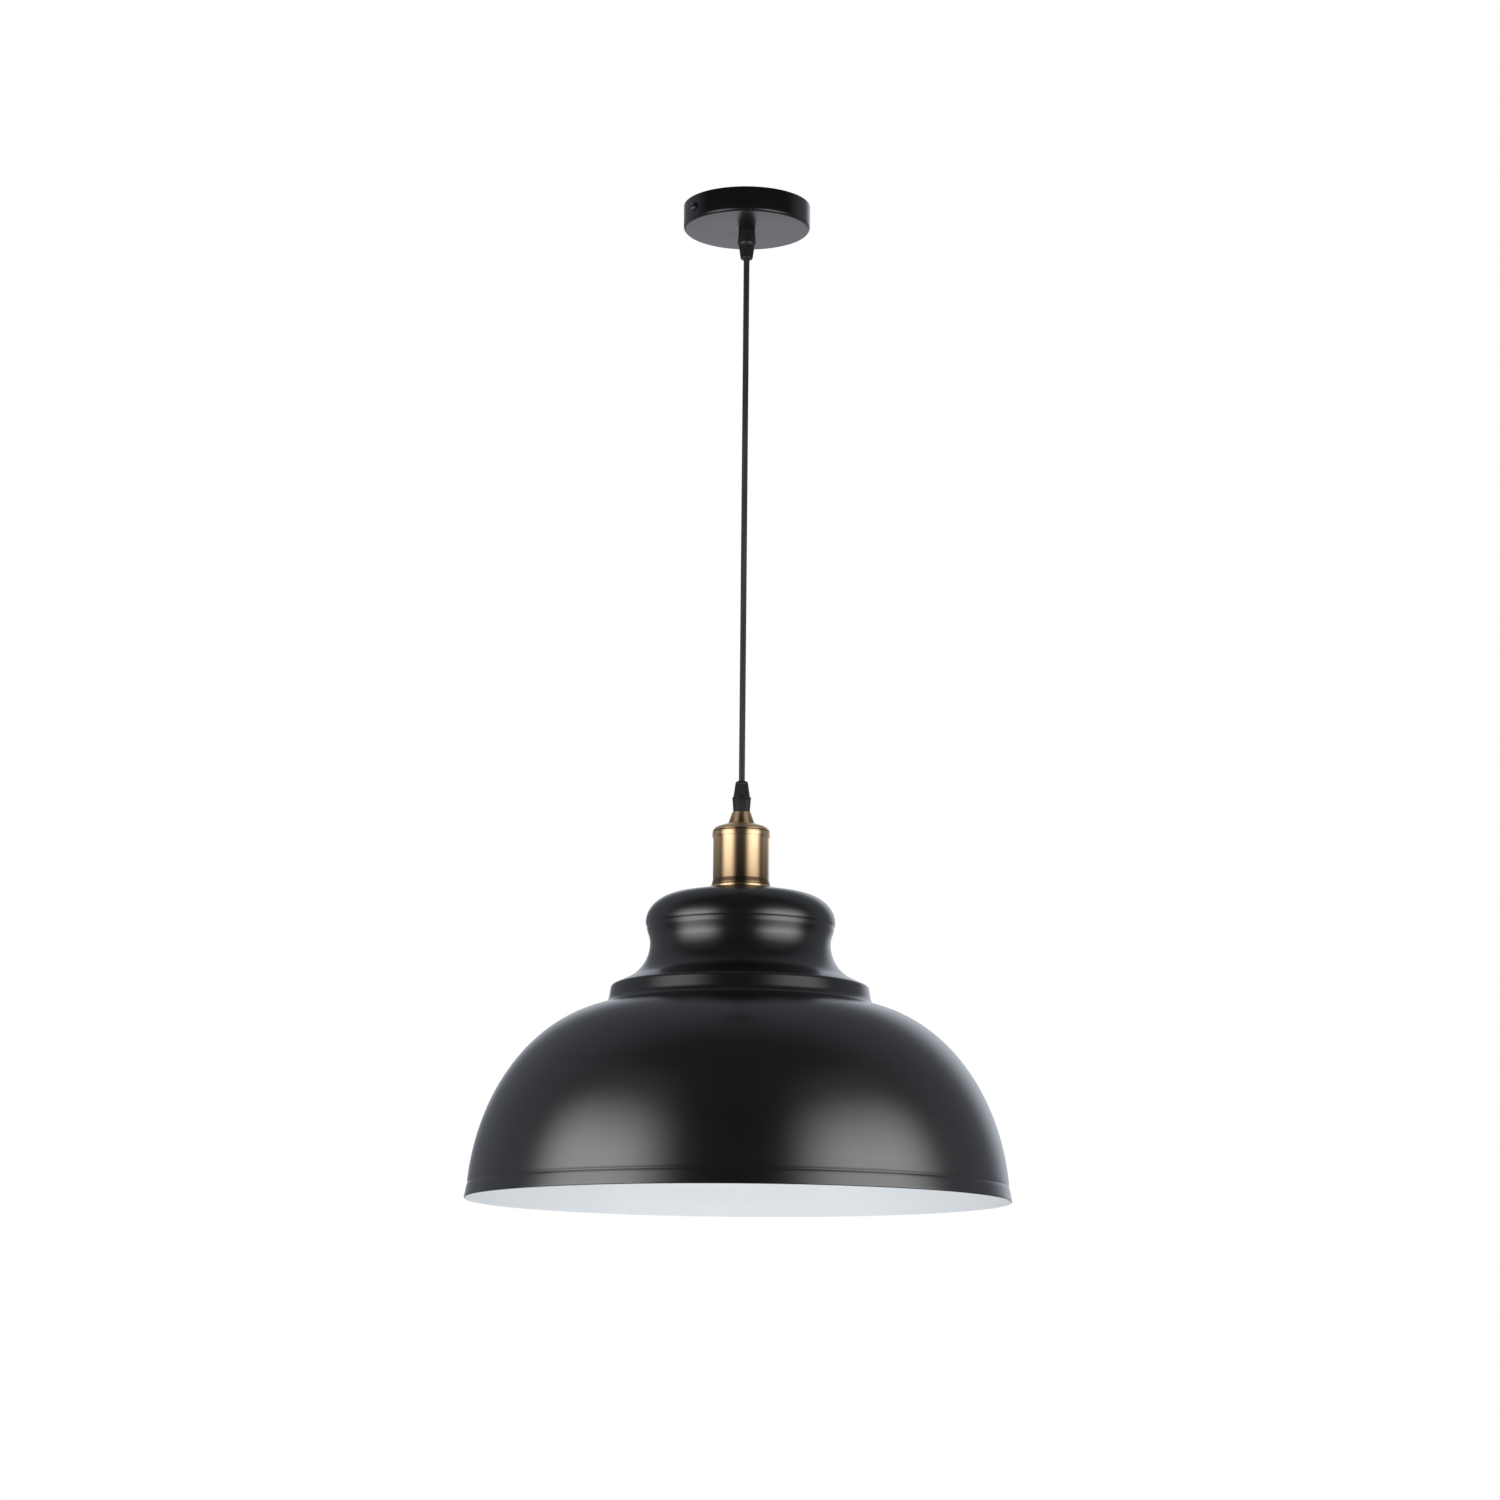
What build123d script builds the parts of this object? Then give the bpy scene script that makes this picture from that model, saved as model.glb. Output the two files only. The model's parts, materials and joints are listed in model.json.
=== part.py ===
from build123d import *

import os
from math import asin, cos, degrees, radians, sin, sqrt, tan

os.makedirs("parts", exist_ok=True)

# Pendant ceiling light: a spun dome shade and its lampholder on a taut cord under a round canopy.
# Millimetres, +Z up. The origin is on the ceiling, on the light's own axis, so all of it hangs below 0.

# Fits
fit_clearance = 0.08
pass_clearance = 0.3
running_gap = 0.3

# Cord and its three cores
cord_diameter = 4.5
cord_free_length = 406.0
cord_bend_length = 24.0
sheath_stand_out = 1.0
core_diameter = 2.0
core_ring_radius = 1.2
core_pole_angle = 30.0
core_lead = 5.0
core_bend_share = 0.45
conductor_diameter = 1.1
conductor_length = 6.0

# Canopy
canopy_diameter = 97.0
canopy_height = 18.8
canopy_wall = 1.0
canopy_edge_radius = 2.5
side_screw_drop = 9.0
side_screw_head_radius = 3.2
side_screw_head_height = 2.3

# Ceiling bracket
strap_thickness = 1.5
strap_width = 16.0
strap_clearance = 0.4
strap_tab_length = 14.0
strap_bend_radius = 1.35
ceiling_slot_spacing = 50.0
ceiling_slot_width = 4.5
ceiling_slot_length = 12.0
supply_hole_diameter = 15.0
lug_width = 22.0
terminal_lug_reach = 33.0
earth_lug_reach = 27.0

# Screws: slotted pan heads
m3_radius = 1.5
m3_head_radius = 2.75
m3_head_height = 1.9
m3_slot_width = 0.8
clamp_screw_radius = 1.4
clamp_head_radius = 1.7
clamp_head_height = 1.6
clamp_slot_width = 0.6

# Threaded stub of each cord grip, with its nut and washer
stub_radius = 5.0
lock_nut_across_flats = 14.0
lock_nut_height = 3.0
lock_washer_radius = 8.5
lock_washer_thickness = 0.8
stub_stand_out = 1.0

# Cord grip: hexagonal tapered body and ribbed clamp nut
grip_body_length = 9.8
grip_seat_half_flats = 5.4
grip_hip_half_flats = 6.05
grip_turn = 30.0
grip_spigot_radius = 4.2
grip_spigot_length = 6.0
grip_collet_length = 5.0
grip_collet_tip_radius = 3.1
grip_collet_slit = 0.7
grip_nut_length = 13.7
grip_ring_radius = 7.2
grip_ring_edge = 0.8
grip_ring_height = 2.4
grip_rib_base_radius = 6.1
grip_rib_tip_radius = 4.8
grip_tip_radius = 3.1
grip_tip_height = 1.9
grip_rib_count = 20
grip_groove_radius = 0.35

# Terminal block
terminal_pitch = 10.0
terminal_wall = 5.0
terminal_length = 17.0
terminal_height = 11.0
terminal_gap = 6.0
terminal_axis_drop = 5.0
sleeve_radius = 2.4
sleeve_bore_radius = 1.4
sleeve_inset = 1.0
sleeve_screw_spacing = 9.0

# Ring terminals
ring_radius = 3.2
ring_thickness = 0.7
barrel_radius = 1.5
barrel_length = 3.5
barrel_offset = 4.2

# Brass holder: cone and cup
cone_height = 8.4
cone_base_radius = 9.8
cone_top_radius = 7.0
cup_height = 49.8
cup_wall = 0.8
cup_radius = 20.65
cup_shoulder_height = 8.0
cup_shoulder_flat = 11.2
cup_band_radius = 21.2
cup_band_height = 4.0
cup_bead_radius = 1.3
cup_bead_outer_radius = 22.1
cup_flare_height = 6.5

# Holder strap inside the cup
holder_strap_thickness = 1.5
holder_strap_width = 13.0
holder_strap_half_length = 8.6
holder_foot_reach = 17.0
strap_screw_depth = 4.5

# Porcelain socket body and shade ring
socket_radius = 19.3
socket_above_seat = 23.0
socket_below_seat = 11.0
socket_bore_radius = 14.5
socket_bore_depth = 28.0
shade_ring_radius = 26.5
shade_ring_height = 6.0
shade_ring_grip_count = 24
shade_ring_grip_radius = 1.1

# Screw shell for a 27 mm lamp cap
shell_thread_crest = 12.3
shell_thread_root = 13.35
shell_pitch = 3.6
shell_turns = 6
shell_sheet = 0.4
shell_mouth_inset = 2.0
shell_floor_hole = 7.2

# Contacts and terminals in the socket
contact_sheet = 0.5
contact_width = 4.4
contact_foot_length = 4.6
contact_root = 2.0
contact_tongue_length = 7.5
contact_tongue_angle = 30.0
rivet_radius = 1.4
rivet_head_radius = 1.9
rivet_head_height = 0.8
shell_rivet_offset = 10.0
post_length = 9.0
post_width = 7.0
post_height = 6.0
post_offset = 7.5
post_wire_depth = 4.0
post_bore_radius = 1.1

# Shade, from the rim up
shade_wall = 1.0
shade_rim_radius = 200.0
shade_rim_flare = 2.0
shade_rim_band_height = 11.0
shade_dome_height = 142.0
shade_dome_centre_drop = 5.3
shade_dome_top_angle = 79.8
shade_ledge_width = 5.4
shade_band_bottom_radius = 97.7
shade_band_top_radius = 95.2
shade_band_height = 15.6
shade_band_edge_radius = 3.0
shade_flare_radius = 82.7
shade_flare_rise = 5.2
shade_neck_height = 28.0
shade_waist_radius = 67.2
shade_waist_rise = 13.1
shade_shoulder_radius = 70.3
shade_shoulder_width = 27.3
shade_shoulder_height = 23.0
shade_shoulder_top_angle = 80.8
shade_crown_rise = 3.4
shade_seat_margin = 1.0

# Radii and levels that follow
cord_radius = cord_diameter / 2
core_radius = core_diameter / 2
canopy_radius = canopy_diameter / 2
canopy_inner_radius = canopy_radius - canopy_wall
grip_length = grip_body_length + grip_nut_length
canopy_bottom = -canopy_height
upper_exit = canopy_bottom - grip_length
lower_exit = upper_exit - cord_free_length
cone_top = lower_exit - grip_length
cup_top = cone_top - cone_height
shade_seat = cup_top - cup_height
shade_height = (
    shade_dome_height
    + shade_band_height
    + shade_flare_rise
    + shade_neck_height
    + shade_waist_rise
    + shade_shoulder_height * sin(radians(shade_shoulder_top_angle))
    + shade_crown_rise
)
rim_level = shade_seat - shade_height
shade_seat_radius = shade_ring_radius + shade_seat_margin

upper_pivot = upper_exit - cord_radius - running_gap
side_pivot = upper_pivot - cord_bend_length
lower_pivot = lower_exit + cord_radius + running_gap
twist_level = lower_pivot + cord_bend_length

tab_face = sqrt((canopy_inner_radius - strap_clearance) ** 2 - (strap_width / 2) ** 2)
upper_stub_length = canopy_wall + lock_washer_thickness + lock_nut_height + stub_stand_out
upper_stub_top = canopy_bottom + upper_stub_length
lower_stub_length = cone_height + cup_wall + holder_strap_thickness + lock_nut_height + stub_stand_out
lower_stub_bottom = cone_top - lower_stub_length
upper_sheath_end = upper_stub_top + sheath_stand_out
lower_sheath_end = lower_stub_bottom - sheath_stand_out
stub_hole_radius = stub_radius + pass_clearance

socket_top = shade_seat + socket_above_seat
socket_mouth = shade_seat - socket_below_seat
socket_floor = socket_mouth + socket_bore_depth
post_top = socket_top + post_height

# The plane of each grip's seat faces along the cord, away from what the grip is fixed to.
upper_grip_seat = Plane(origin=(0, 0, canopy_bottom), x_dir=(1, 0, 0), z_dir=(0, 0, -1))
lower_grip_seat = Plane(origin=(0, 0, cone_top), x_dir=(1, 0, 0), z_dir=(0, 0, 1))


def half_section(seat):
    """Plane through the axis of a seat: local x outwards, local y along the seat's normal."""
    return Plane(origin=seat.origin, x_dir=seat.x_dir, z_dir=seat.x_dir.cross(seat.z_dir))


def make_grip_body(seat, stub_length):
    """Hexagonal tapered body, with a threaded stub behind its seat and a slit collet in front."""
    hip = seat.offset(grip_body_length)
    spigot_end = hip.offset(grip_spigot_length)
    with BuildPart() as body:
        with BuildSketch(seat):
            RegularPolygon(grip_seat_half_flats, 6, major_radius=False, rotation=grip_turn)
        with BuildSketch(hip):
            RegularPolygon(grip_hip_half_flats, 6, major_radius=False, rotation=grip_turn)
        loft(ruled=True)
        with BuildSketch(seat):
            Circle(stub_radius)
        extrude(amount=-stub_length)
        with BuildSketch(hip):
            Circle(grip_spigot_radius)
        extrude(amount=grip_spigot_length)
        with BuildSketch(spigot_end):
            Circle(grip_spigot_radius - running_gap)
        with BuildSketch(spigot_end.offset(grip_collet_length)):
            Circle(grip_collet_tip_radius)
        loft()
        with BuildSketch(spigot_end.offset(grip_collet_length)):
            Rectangle(2 * grip_spigot_radius, grip_collet_slit)
            Rectangle(grip_collet_slit, 2 * grip_spigot_radius)
        extrude(amount=-grip_collet_length, mode=Mode.SUBTRACT)
        with BuildSketch(seat.offset(-stub_length)):
            Circle(cord_radius + fit_clearance)
        extrude(amount=stub_length + grip_length, mode=Mode.SUBTRACT)
    return body


def make_grip_nut(seat):
    """Ribbed clamp nut over the spigot and collet of a grip body."""
    hip = seat.offset(grip_body_length)
    rib_base = grip_ring_height
    rib_tip = grip_nut_length - grip_tip_height
    bore_end = grip_spigot_length + running_gap
    exit_radius = cord_radius + running_gap
    collet_end = grip_spigot_length + grip_collet_length + running_gap
    with BuildPart() as nut:
        for height, radius in ((rib_base, grip_rib_base_radius), (rib_tip, grip_rib_tip_radius)):
            with BuildSketch(hip.offset(height)):
                Circle(radius)
                with PolarLocations(radius, grip_rib_count):
                    Circle(grip_groove_radius, mode=Mode.SUBTRACT)
        loft(ruled=True)
        with BuildSketch(half_section(hip)):
            with BuildLine():
                Polyline(
                    (0, running_gap),
                    (grip_ring_radius, running_gap),
                    (grip_ring_radius, grip_ring_edge),
                    (grip_rib_base_radius, rib_base),
                    (0, rib_base),
                    close=True,
                )
            make_face()
            with BuildLine():
                Line((0, rib_tip), (grip_rib_tip_radius - grip_groove_radius, rib_tip))
                TangentArc(
                    (grip_rib_tip_radius - grip_groove_radius, rib_tip),
                    (grip_tip_radius, grip_nut_length),
                    tangent=(0, 1),
                )
                Polyline((grip_tip_radius, grip_nut_length), (0, grip_nut_length), (0, rib_tip))
            make_face()
        revolve(axis=Axis(hip.origin, hip.z_dir))
        with BuildSketch(half_section(hip)):
            with BuildLine():
                Polyline(
                    (0, running_gap),
                    (grip_spigot_radius + fit_clearance, running_gap),
                    (grip_spigot_radius + fit_clearance, bore_end),
                    (grip_spigot_radius, bore_end),
                    (grip_collet_tip_radius + running_gap, collet_end),
                    (exit_radius, collet_end),
                    (exit_radius, grip_nut_length),
                    (0, grip_nut_length),
                    close=True,
                )
            make_face()
        revolve(axis=Axis(hip.origin, hip.z_dir), mode=Mode.SUBTRACT)
    return nut


def make_lock_nut(seat):
    """Hexagonal nut that stands on a seat, two of its flats facing along the seat's y."""
    with BuildPart() as nut:
        with BuildSketch(seat):
            RegularPolygon(lock_nut_across_flats / 2, 6, major_radius=False)
            Circle(stub_radius + fit_clearance, mode=Mode.SUBTRACT)
        extrude(amount=lock_nut_height)
    return nut


def make_screw(head_radius, head_height, slot_width, shank_radius, shank_length):
    """Slotted pan-head screw: head above its seat at z = 0, shank below."""
    with BuildPart() as screw:
        with BuildSketch():
            Circle(head_radius)
        extrude(amount=head_height)
        fillet(screw.edges().sort_by(Axis.Z)[-1], head_height / 2)
        with BuildSketch(Plane.XY.offset(head_height)):
            Rectangle(2 * head_radius, slot_width)
        extrude(amount=-head_height / 2, mode=Mode.SUBTRACT)
        with BuildSketch():
            Circle(shank_radius)
        extrude(amount=-shank_length)
    return screw


def place_copies(piece, *seats):
    """A group of separate copies of one piece, one on each seat."""
    with BuildPart() as group:
        with Locations(*seats):
            add(piece.part)
    return group


def bend_radii(points):
    """Largest arc at each corner of a route: a share of its shorter run over the tangent of half its turn."""
    radii = []
    for before, corner, after in zip(points, points[1:], points[2:]):
        run_in = Vector(corner) - Vector(before)
        run_out = Vector(after) - Vector(corner)
        half_turn = radians(run_in.get_angle(run_out)) / 2
        radii.append(core_bend_share * min(run_in.length, run_out.length) / tan(half_turn))
    return radii


def make_core(name, points):
    """Insulated core along straight runs joined by tangent arcs."""
    radii = bend_radii(points)
    print(name, "bend radii", [round(radius, 2) for radius in radii])
    with BuildPart() as core:
        with BuildLine() as route:
            FilletPolyline(*points, radius=radii)
        with BuildSketch(Plane(origin=route.line @ 0, z_dir=route.line % 0)):
            Circle(core_radius)
        sweep(path=route.line)
    return core


def make_ring_terminal(seat):
    """Ring terminal flat on a seat, with its crimp barrel along the seat's x."""
    with BuildPart() as terminal:
        with BuildSketch(seat):
            Circle(ring_radius)
            with Locations((barrel_offset / 2, 0)):
                Rectangle(barrel_offset, 2 * barrel_radius)
            Circle(m3_radius + fit_clearance, mode=Mode.SUBTRACT)
        extrude(amount=ring_thickness)
        barrel_plane = Plane(
            origin=seat.from_local_coords((barrel_offset, 0, barrel_radius)),
            x_dir=seat.y_dir,
            z_dir=seat.x_dir,
        )
        with BuildSketch(barrel_plane):
            Circle(barrel_radius)
        extrude(amount=barrel_length)
        with BuildSketch(barrel_plane.offset(ring_thickness)):
            Circle(core_radius + fit_clearance)
        extrude(amount=barrel_length, mode=Mode.SUBTRACT)
    return terminal


# Canopy
with BuildPart() as canopy:
    with BuildSketch():
        Circle(canopy_radius)
    extrude(amount=-canopy_height)
    fillet(canopy.faces().sort_by(Axis.Z)[0].edges(), canopy_edge_radius)
    offset(amount=-canopy_wall, openings=canopy.faces().sort_by(Axis.Z)[-1])
    with BuildSketch(Plane.XY.offset(canopy_bottom)):
        Circle(stub_hole_radius)
    extrude(amount=canopy_wall, mode=Mode.SUBTRACT)
    with BuildSketch(Plane.YZ):
        with Locations((0, -side_screw_drop)):
            Circle(m3_radius + pass_clearance)
    extrude(amount=canopy_radius, both=True, mode=Mode.SUBTRACT)
canopy.part.label = "canopy"
export_step(canopy.part, "parts/canopy.step")

# Ceiling bracket: strap along X with turned-down tabs, and a lug on each side
terminal_centre = strap_width / 2 + terminal_gap + terminal_length / 2
earth_screw_y = -(strap_width / 2 + earth_lug_reach) / 2 - ring_radius
with BuildPart() as ceiling_bracket:
    with BuildSketch(Plane.XY.offset(-strap_thickness)):
        Rectangle(2 * tab_face, strap_width)
        with Locations((0, terminal_lug_reach / 2)):
            Rectangle(lug_width, terminal_lug_reach)
        with Locations((0, -earth_lug_reach / 2)):
            Rectangle(lug_width, earth_lug_reach)
        with GridLocations(ceiling_slot_spacing, 0, 2, 1):
            SlotOverall(ceiling_slot_length, ceiling_slot_width, mode=Mode.SUBTRACT)
        Circle(supply_hole_diameter / 2, mode=Mode.SUBTRACT)
        with Locations((0, terminal_centre), (0, earth_screw_y)):
            Circle(m3_radius + fit_clearance, mode=Mode.SUBTRACT)
    extrude(amount=strap_thickness)
    with BuildSketch(Plane.XY.offset(-strap_thickness)):
        with GridLocations(2 * tab_face - strap_thickness, 0, 2, 1):
            Rectangle(strap_thickness, strap_width)
    extrude(amount=strap_thickness - strap_tab_length)
    with BuildSketch(Plane.YZ):
        with Locations((0, -side_screw_drop)):
            Circle(m3_radius + fit_clearance)
    extrude(amount=tab_face, both=True, mode=Mode.SUBTRACT)
    top_edges = ceiling_bracket.edges().filter_by(Axis.Y).group_by(Axis.Z)[-1].sort_by(Axis.X)
    fillet([top_edges[0], top_edges[-1]], strap_bend_radius)
ceiling_bracket.part.label = "ceiling_bracket"
export_step(ceiling_bracket.part, "parts/ceiling_bracket.step")

# Side screws, through the canopy into the bracket's tabs
side_screw_length = canopy_radius - tab_face + 2 * strap_thickness
side_screw = make_screw(
    side_screw_head_radius, side_screw_head_height, m3_slot_width, m3_radius, side_screw_length
)
canopy_screws = place_copies(
    side_screw,
    Plane(origin=(canopy_radius, 0, -side_screw_drop), x_dir=(0, 1, 0), z_dir=(1, 0, 0)),
    Plane(origin=(-canopy_radius, 0, -side_screw_drop), x_dir=(0, 1, 0), z_dir=(-1, 0, 0)),
)
canopy_screws.part.label = "canopy_screws"
export_step(canopy_screws.part, "parts/canopy_screws.step")

# Upper cord grip, locked in the canopy
upper_grip_body = make_grip_body(upper_grip_seat, upper_stub_length)
upper_grip_body.part.label = "upper_grip_body"
export_step(upper_grip_body.part, "parts/upper_grip_body.step")

upper_grip_nut = make_grip_nut(upper_grip_seat)
upper_grip_nut.part.label = "upper_grip_nut"
export_step(upper_grip_nut.part, "parts/upper_grip_nut.step")

canopy_floor = Plane.XY.offset(canopy_bottom + canopy_wall)
with BuildPart() as upper_lock_washer:
    with BuildSketch(canopy_floor):
        Circle(lock_washer_radius)
        Circle(stub_radius + fit_clearance, mode=Mode.SUBTRACT)
    extrude(amount=lock_washer_thickness)
upper_lock_washer.part.label = "upper_lock_washer"
export_step(upper_lock_washer.part, "parts/upper_lock_washer.step")

upper_lock_nut = make_lock_nut(canopy_floor.offset(lock_washer_thickness))
upper_lock_nut.part.label = "upper_lock_nut"
export_step(upper_lock_nut.part, "parts/upper_lock_nut.step")

# Cord: the end held in the upper grip, the two lengths that flex, the straight run, the lower end
with BuildPart() as cord_upper_end:
    with BuildSketch(Plane.XY.offset(upper_exit)):
        Circle(cord_radius)
    extrude(amount=upper_sheath_end - upper_exit)
cord_upper_end.part.label = "cord_upper_end"
export_step(cord_upper_end.part, "parts/cord_upper_end.step")

bend_cup_radius = cord_radius + running_gap
with BuildPart() as cord_top_bend:
    with BuildSketch(Plane.XY.offset(upper_pivot)):
        Circle(cord_radius)
    extrude(amount=side_pivot - upper_pivot)
    with Locations((0, 0, upper_pivot)):
        Sphere(cord_radius)
    with Locations((0, 0, side_pivot)):
        Sphere(bend_cup_radius, mode=Mode.SUBTRACT)
cord_top_bend.part.label = "cord_top_bend"
export_step(cord_top_bend.part, "parts/cord_top_bend.step")

with BuildPart() as cord_run:
    with BuildSketch(Plane.XY.offset(side_pivot)):
        Circle(cord_radius)
    extrude(amount=twist_level + running_gap - side_pivot)
    with Locations((0, 0, side_pivot)):
        Sphere(cord_radius)
cord_run.part.label = "cord_run"
export_step(cord_run.part, "parts/cord_run.step")

with BuildPart() as cord_bottom_bend:
    with BuildSketch(Plane.XY.offset(lower_pivot)):
        Circle(cord_radius)
    extrude(amount=twist_level - lower_pivot)
    with Locations((0, 0, lower_pivot)):
        Sphere(cord_radius)
cord_bottom_bend.part.label = "cord_bottom_bend"
export_step(cord_bottom_bend.part, "parts/cord_bottom_bend.step")

with BuildPart() as cord_lower_end:
    with BuildSketch(Plane.XY.offset(lower_sheath_end)):
        Circle(cord_radius)
    extrude(amount=lower_exit - lower_sheath_end)
cord_lower_end.part.label = "cord_lower_end"
export_step(cord_lower_end.part, "parts/cord_lower_end.step")

# Terminal block under the bracket's lug: housing, sleeves, clamp screws and fixing screw
terminal_bottom = -strap_thickness - terminal_height
terminal_axis = -strap_thickness - terminal_axis_drop
terminal_front = terminal_centre - terminal_length / 2
with BuildPart() as terminal_housing:
    with BuildSketch(Plane.XY.offset(terminal_bottom)):
        with Locations((0, terminal_centre)):
            Rectangle(terminal_pitch + 2 * terminal_wall, terminal_length)
            Circle(m3_radius + pass_clearance, mode=Mode.SUBTRACT)
    extrude(amount=terminal_height)
    with BuildSketch(Plane.XY.offset(terminal_bottom)):
        with Locations((0, terminal_centre)):
            Circle(m3_head_radius + pass_clearance)
    extrude(amount=m3_head_height + pass_clearance, mode=Mode.SUBTRACT)
    with BuildSketch(Plane.XY.offset(terminal_bottom)):
        with Locations((0, terminal_centre)):
            with GridLocations(terminal_pitch, sleeve_screw_spacing, 2, 2):
                Circle(clamp_head_radius + fit_clearance)
    extrude(amount=terminal_axis - terminal_bottom, mode=Mode.SUBTRACT)
    with BuildSketch(Plane.XZ.offset(-terminal_front)):
        with Locations((0, terminal_axis)):
            with GridLocations(terminal_pitch, 0, 2, 1):
                Circle(sleeve_radius + fit_clearance)
    extrude(amount=-terminal_length, mode=Mode.SUBTRACT)
terminal_housing.part.label = "terminal_housing"
export_step(terminal_housing.part, "parts/terminal_housing.step")

sleeve_front = terminal_front + sleeve_inset
sleeve_length = terminal_length - 2 * sleeve_inset
with BuildPart() as terminal_sleeves:
    with BuildSketch(Plane.XZ.offset(-sleeve_front)):
        with Locations((0, terminal_axis)):
            with GridLocations(terminal_pitch, 0, 2, 1):
                Circle(sleeve_radius)
                Circle(sleeve_bore_radius, mode=Mode.SUBTRACT)
    extrude(amount=-sleeve_length)
    with BuildSketch(Plane.XY.offset(terminal_bottom)):
        with Locations((0, terminal_centre)):
            with GridLocations(terminal_pitch, sleeve_screw_spacing, 2, 2):
                Circle(clamp_screw_radius + fit_clearance)
    extrude(amount=terminal_axis - terminal_bottom, mode=Mode.SUBTRACT)
terminal_sleeves.part.label = "terminal_sleeves"
export_step(terminal_sleeves.part, "parts/terminal_sleeves.step")

# Each clamp screw ends on the conductor and its head stays inside the housing.
clamp_tip = terminal_axis - conductor_diameter / 2
clamp_seat = terminal_axis - sleeve_radius - fit_clearance
clamp_screw = make_screw(
    clamp_head_radius, clamp_head_height, clamp_slot_width, clamp_screw_radius, clamp_tip - clamp_seat
)
with BuildPart() as terminal_screws:
    with Locations(Plane(origin=(0, terminal_centre, clamp_seat), x_dir=(1, 0, 0), z_dir=(0, 0, -1))):
        with GridLocations(terminal_pitch, sleeve_screw_spacing, 2, 2):
            add(clamp_screw.part)
terminal_screws.part.label = "terminal_screws"
export_step(terminal_screws.part, "parts/terminal_screws.step")

fixing_seat = terminal_bottom + m3_head_height + pass_clearance
fixing_screw = make_screw(
    m3_head_radius, m3_head_height, m3_slot_width, m3_radius, -running_gap - fixing_seat
)
terminal_fixing_screw = place_copies(
    fixing_screw,
    Plane(origin=(0, terminal_centre, fixing_seat), x_dir=(1, 0, 0), z_dir=(0, 0, -1)),
)
terminal_fixing_screw.part.label = "terminal_fixing_screw"
export_step(terminal_fixing_screw.part, "parts/terminal_fixing_screw.step")

# Earth: ring terminal and screw under the other lug
earth_ring_top = make_ring_terminal(
    Plane(origin=(0, earth_screw_y, -strap_thickness), x_dir=(0, 1, 0), z_dir=(0, 0, -1))
)
earth_ring_top.part.label = "earth_ring_top"
export_step(earth_ring_top.part, "parts/earth_ring_top.step")

earth_seat = -strap_thickness - ring_thickness
earth_screw_body = make_screw(
    m3_head_radius, m3_head_height, m3_slot_width, m3_radius, -running_gap - earth_seat
)
earth_screw = place_copies(
    earth_screw_body,
    Plane(origin=(0, earth_screw_y, earth_seat), x_dir=(1, 0, 0), z_dir=(0, 0, -1)),
)
earth_screw.part.label = "earth_screw"
export_step(earth_screw.part, "parts/earth_screw.step")

# Cores in the canopy, from the end of the sheath to their terminals
core_x = core_ring_radius * cos(radians(core_pole_angle))
core_y = core_ring_radius * sin(radians(core_pole_angle))
pole_x = terminal_pitch / 2
for side, name in ((-1, "live_core_top"), (1, "neutral_core_top")):
    core = make_core(
        name,
        [
            (side * core_x, core_y, upper_sheath_end),
            (side * core_x, core_y, terminal_axis),
            (side * pole_x, terminal_front - core_lead, terminal_axis + core_radius / 2),
            (side * pole_x, sleeve_front, terminal_axis),
        ],
    )
    core.part.label = name
    export_step(core.part, f"parts/{name}.step")

top_barrel_axis = -strap_thickness - barrel_radius
top_barrel_stop = earth_screw_y + barrel_offset + ring_thickness
top_barrel_mouth = earth_screw_y + barrel_offset + barrel_length
earth_core_top = make_core(
    "earth_core_top",
    [
        (0, -core_ring_radius, upper_sheath_end),
        (0, -core_ring_radius, terminal_axis),
        (0, top_barrel_mouth + core_radius, top_barrel_axis),
        (0, top_barrel_stop, top_barrel_axis),
    ],
)
earth_core_top.part.label = "earth_core_top"
export_step(earth_core_top.part, "parts/earth_core_top.step")

with BuildPart() as bare_ends_top:
    with BuildSketch(Plane.XZ.offset(-sleeve_front)):
        with Locations((0, terminal_axis)):
            with GridLocations(terminal_pitch, 0, 2, 1):
                Circle(conductor_diameter / 2)
    extrude(amount=-conductor_length)
bare_ends_top.part.label = "bare_ends_top"
export_step(bare_ends_top.part, "parts/bare_ends_top.step")

# Lower cord grip, through the cone, the cup and the holder strap
lower_grip_body = make_grip_body(lower_grip_seat, lower_stub_length)
lower_grip_body.part.label = "lower_grip_body"
export_step(lower_grip_body.part, "parts/lower_grip_body.step")

lower_grip_nut = make_grip_nut(lower_grip_seat)
lower_grip_nut.part.label = "lower_grip_nut"
export_step(lower_grip_nut.part, "parts/lower_grip_nut.step")

# Brass cone
with BuildPart() as holder_cone:
    with BuildSketch(Plane.XZ):
        with BuildLine():
            Polyline(
                (stub_hole_radius, cup_top),
                (cone_base_radius, cup_top),
                (cone_top_radius, cone_top),
                (stub_hole_radius, cone_top),
                close=True,
            )
        make_face()
    revolve(axis=Axis.Z)
holder_cone.part.label = "holder_cone"
export_step(holder_cone.part, "parts/holder_cone.step")

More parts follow.
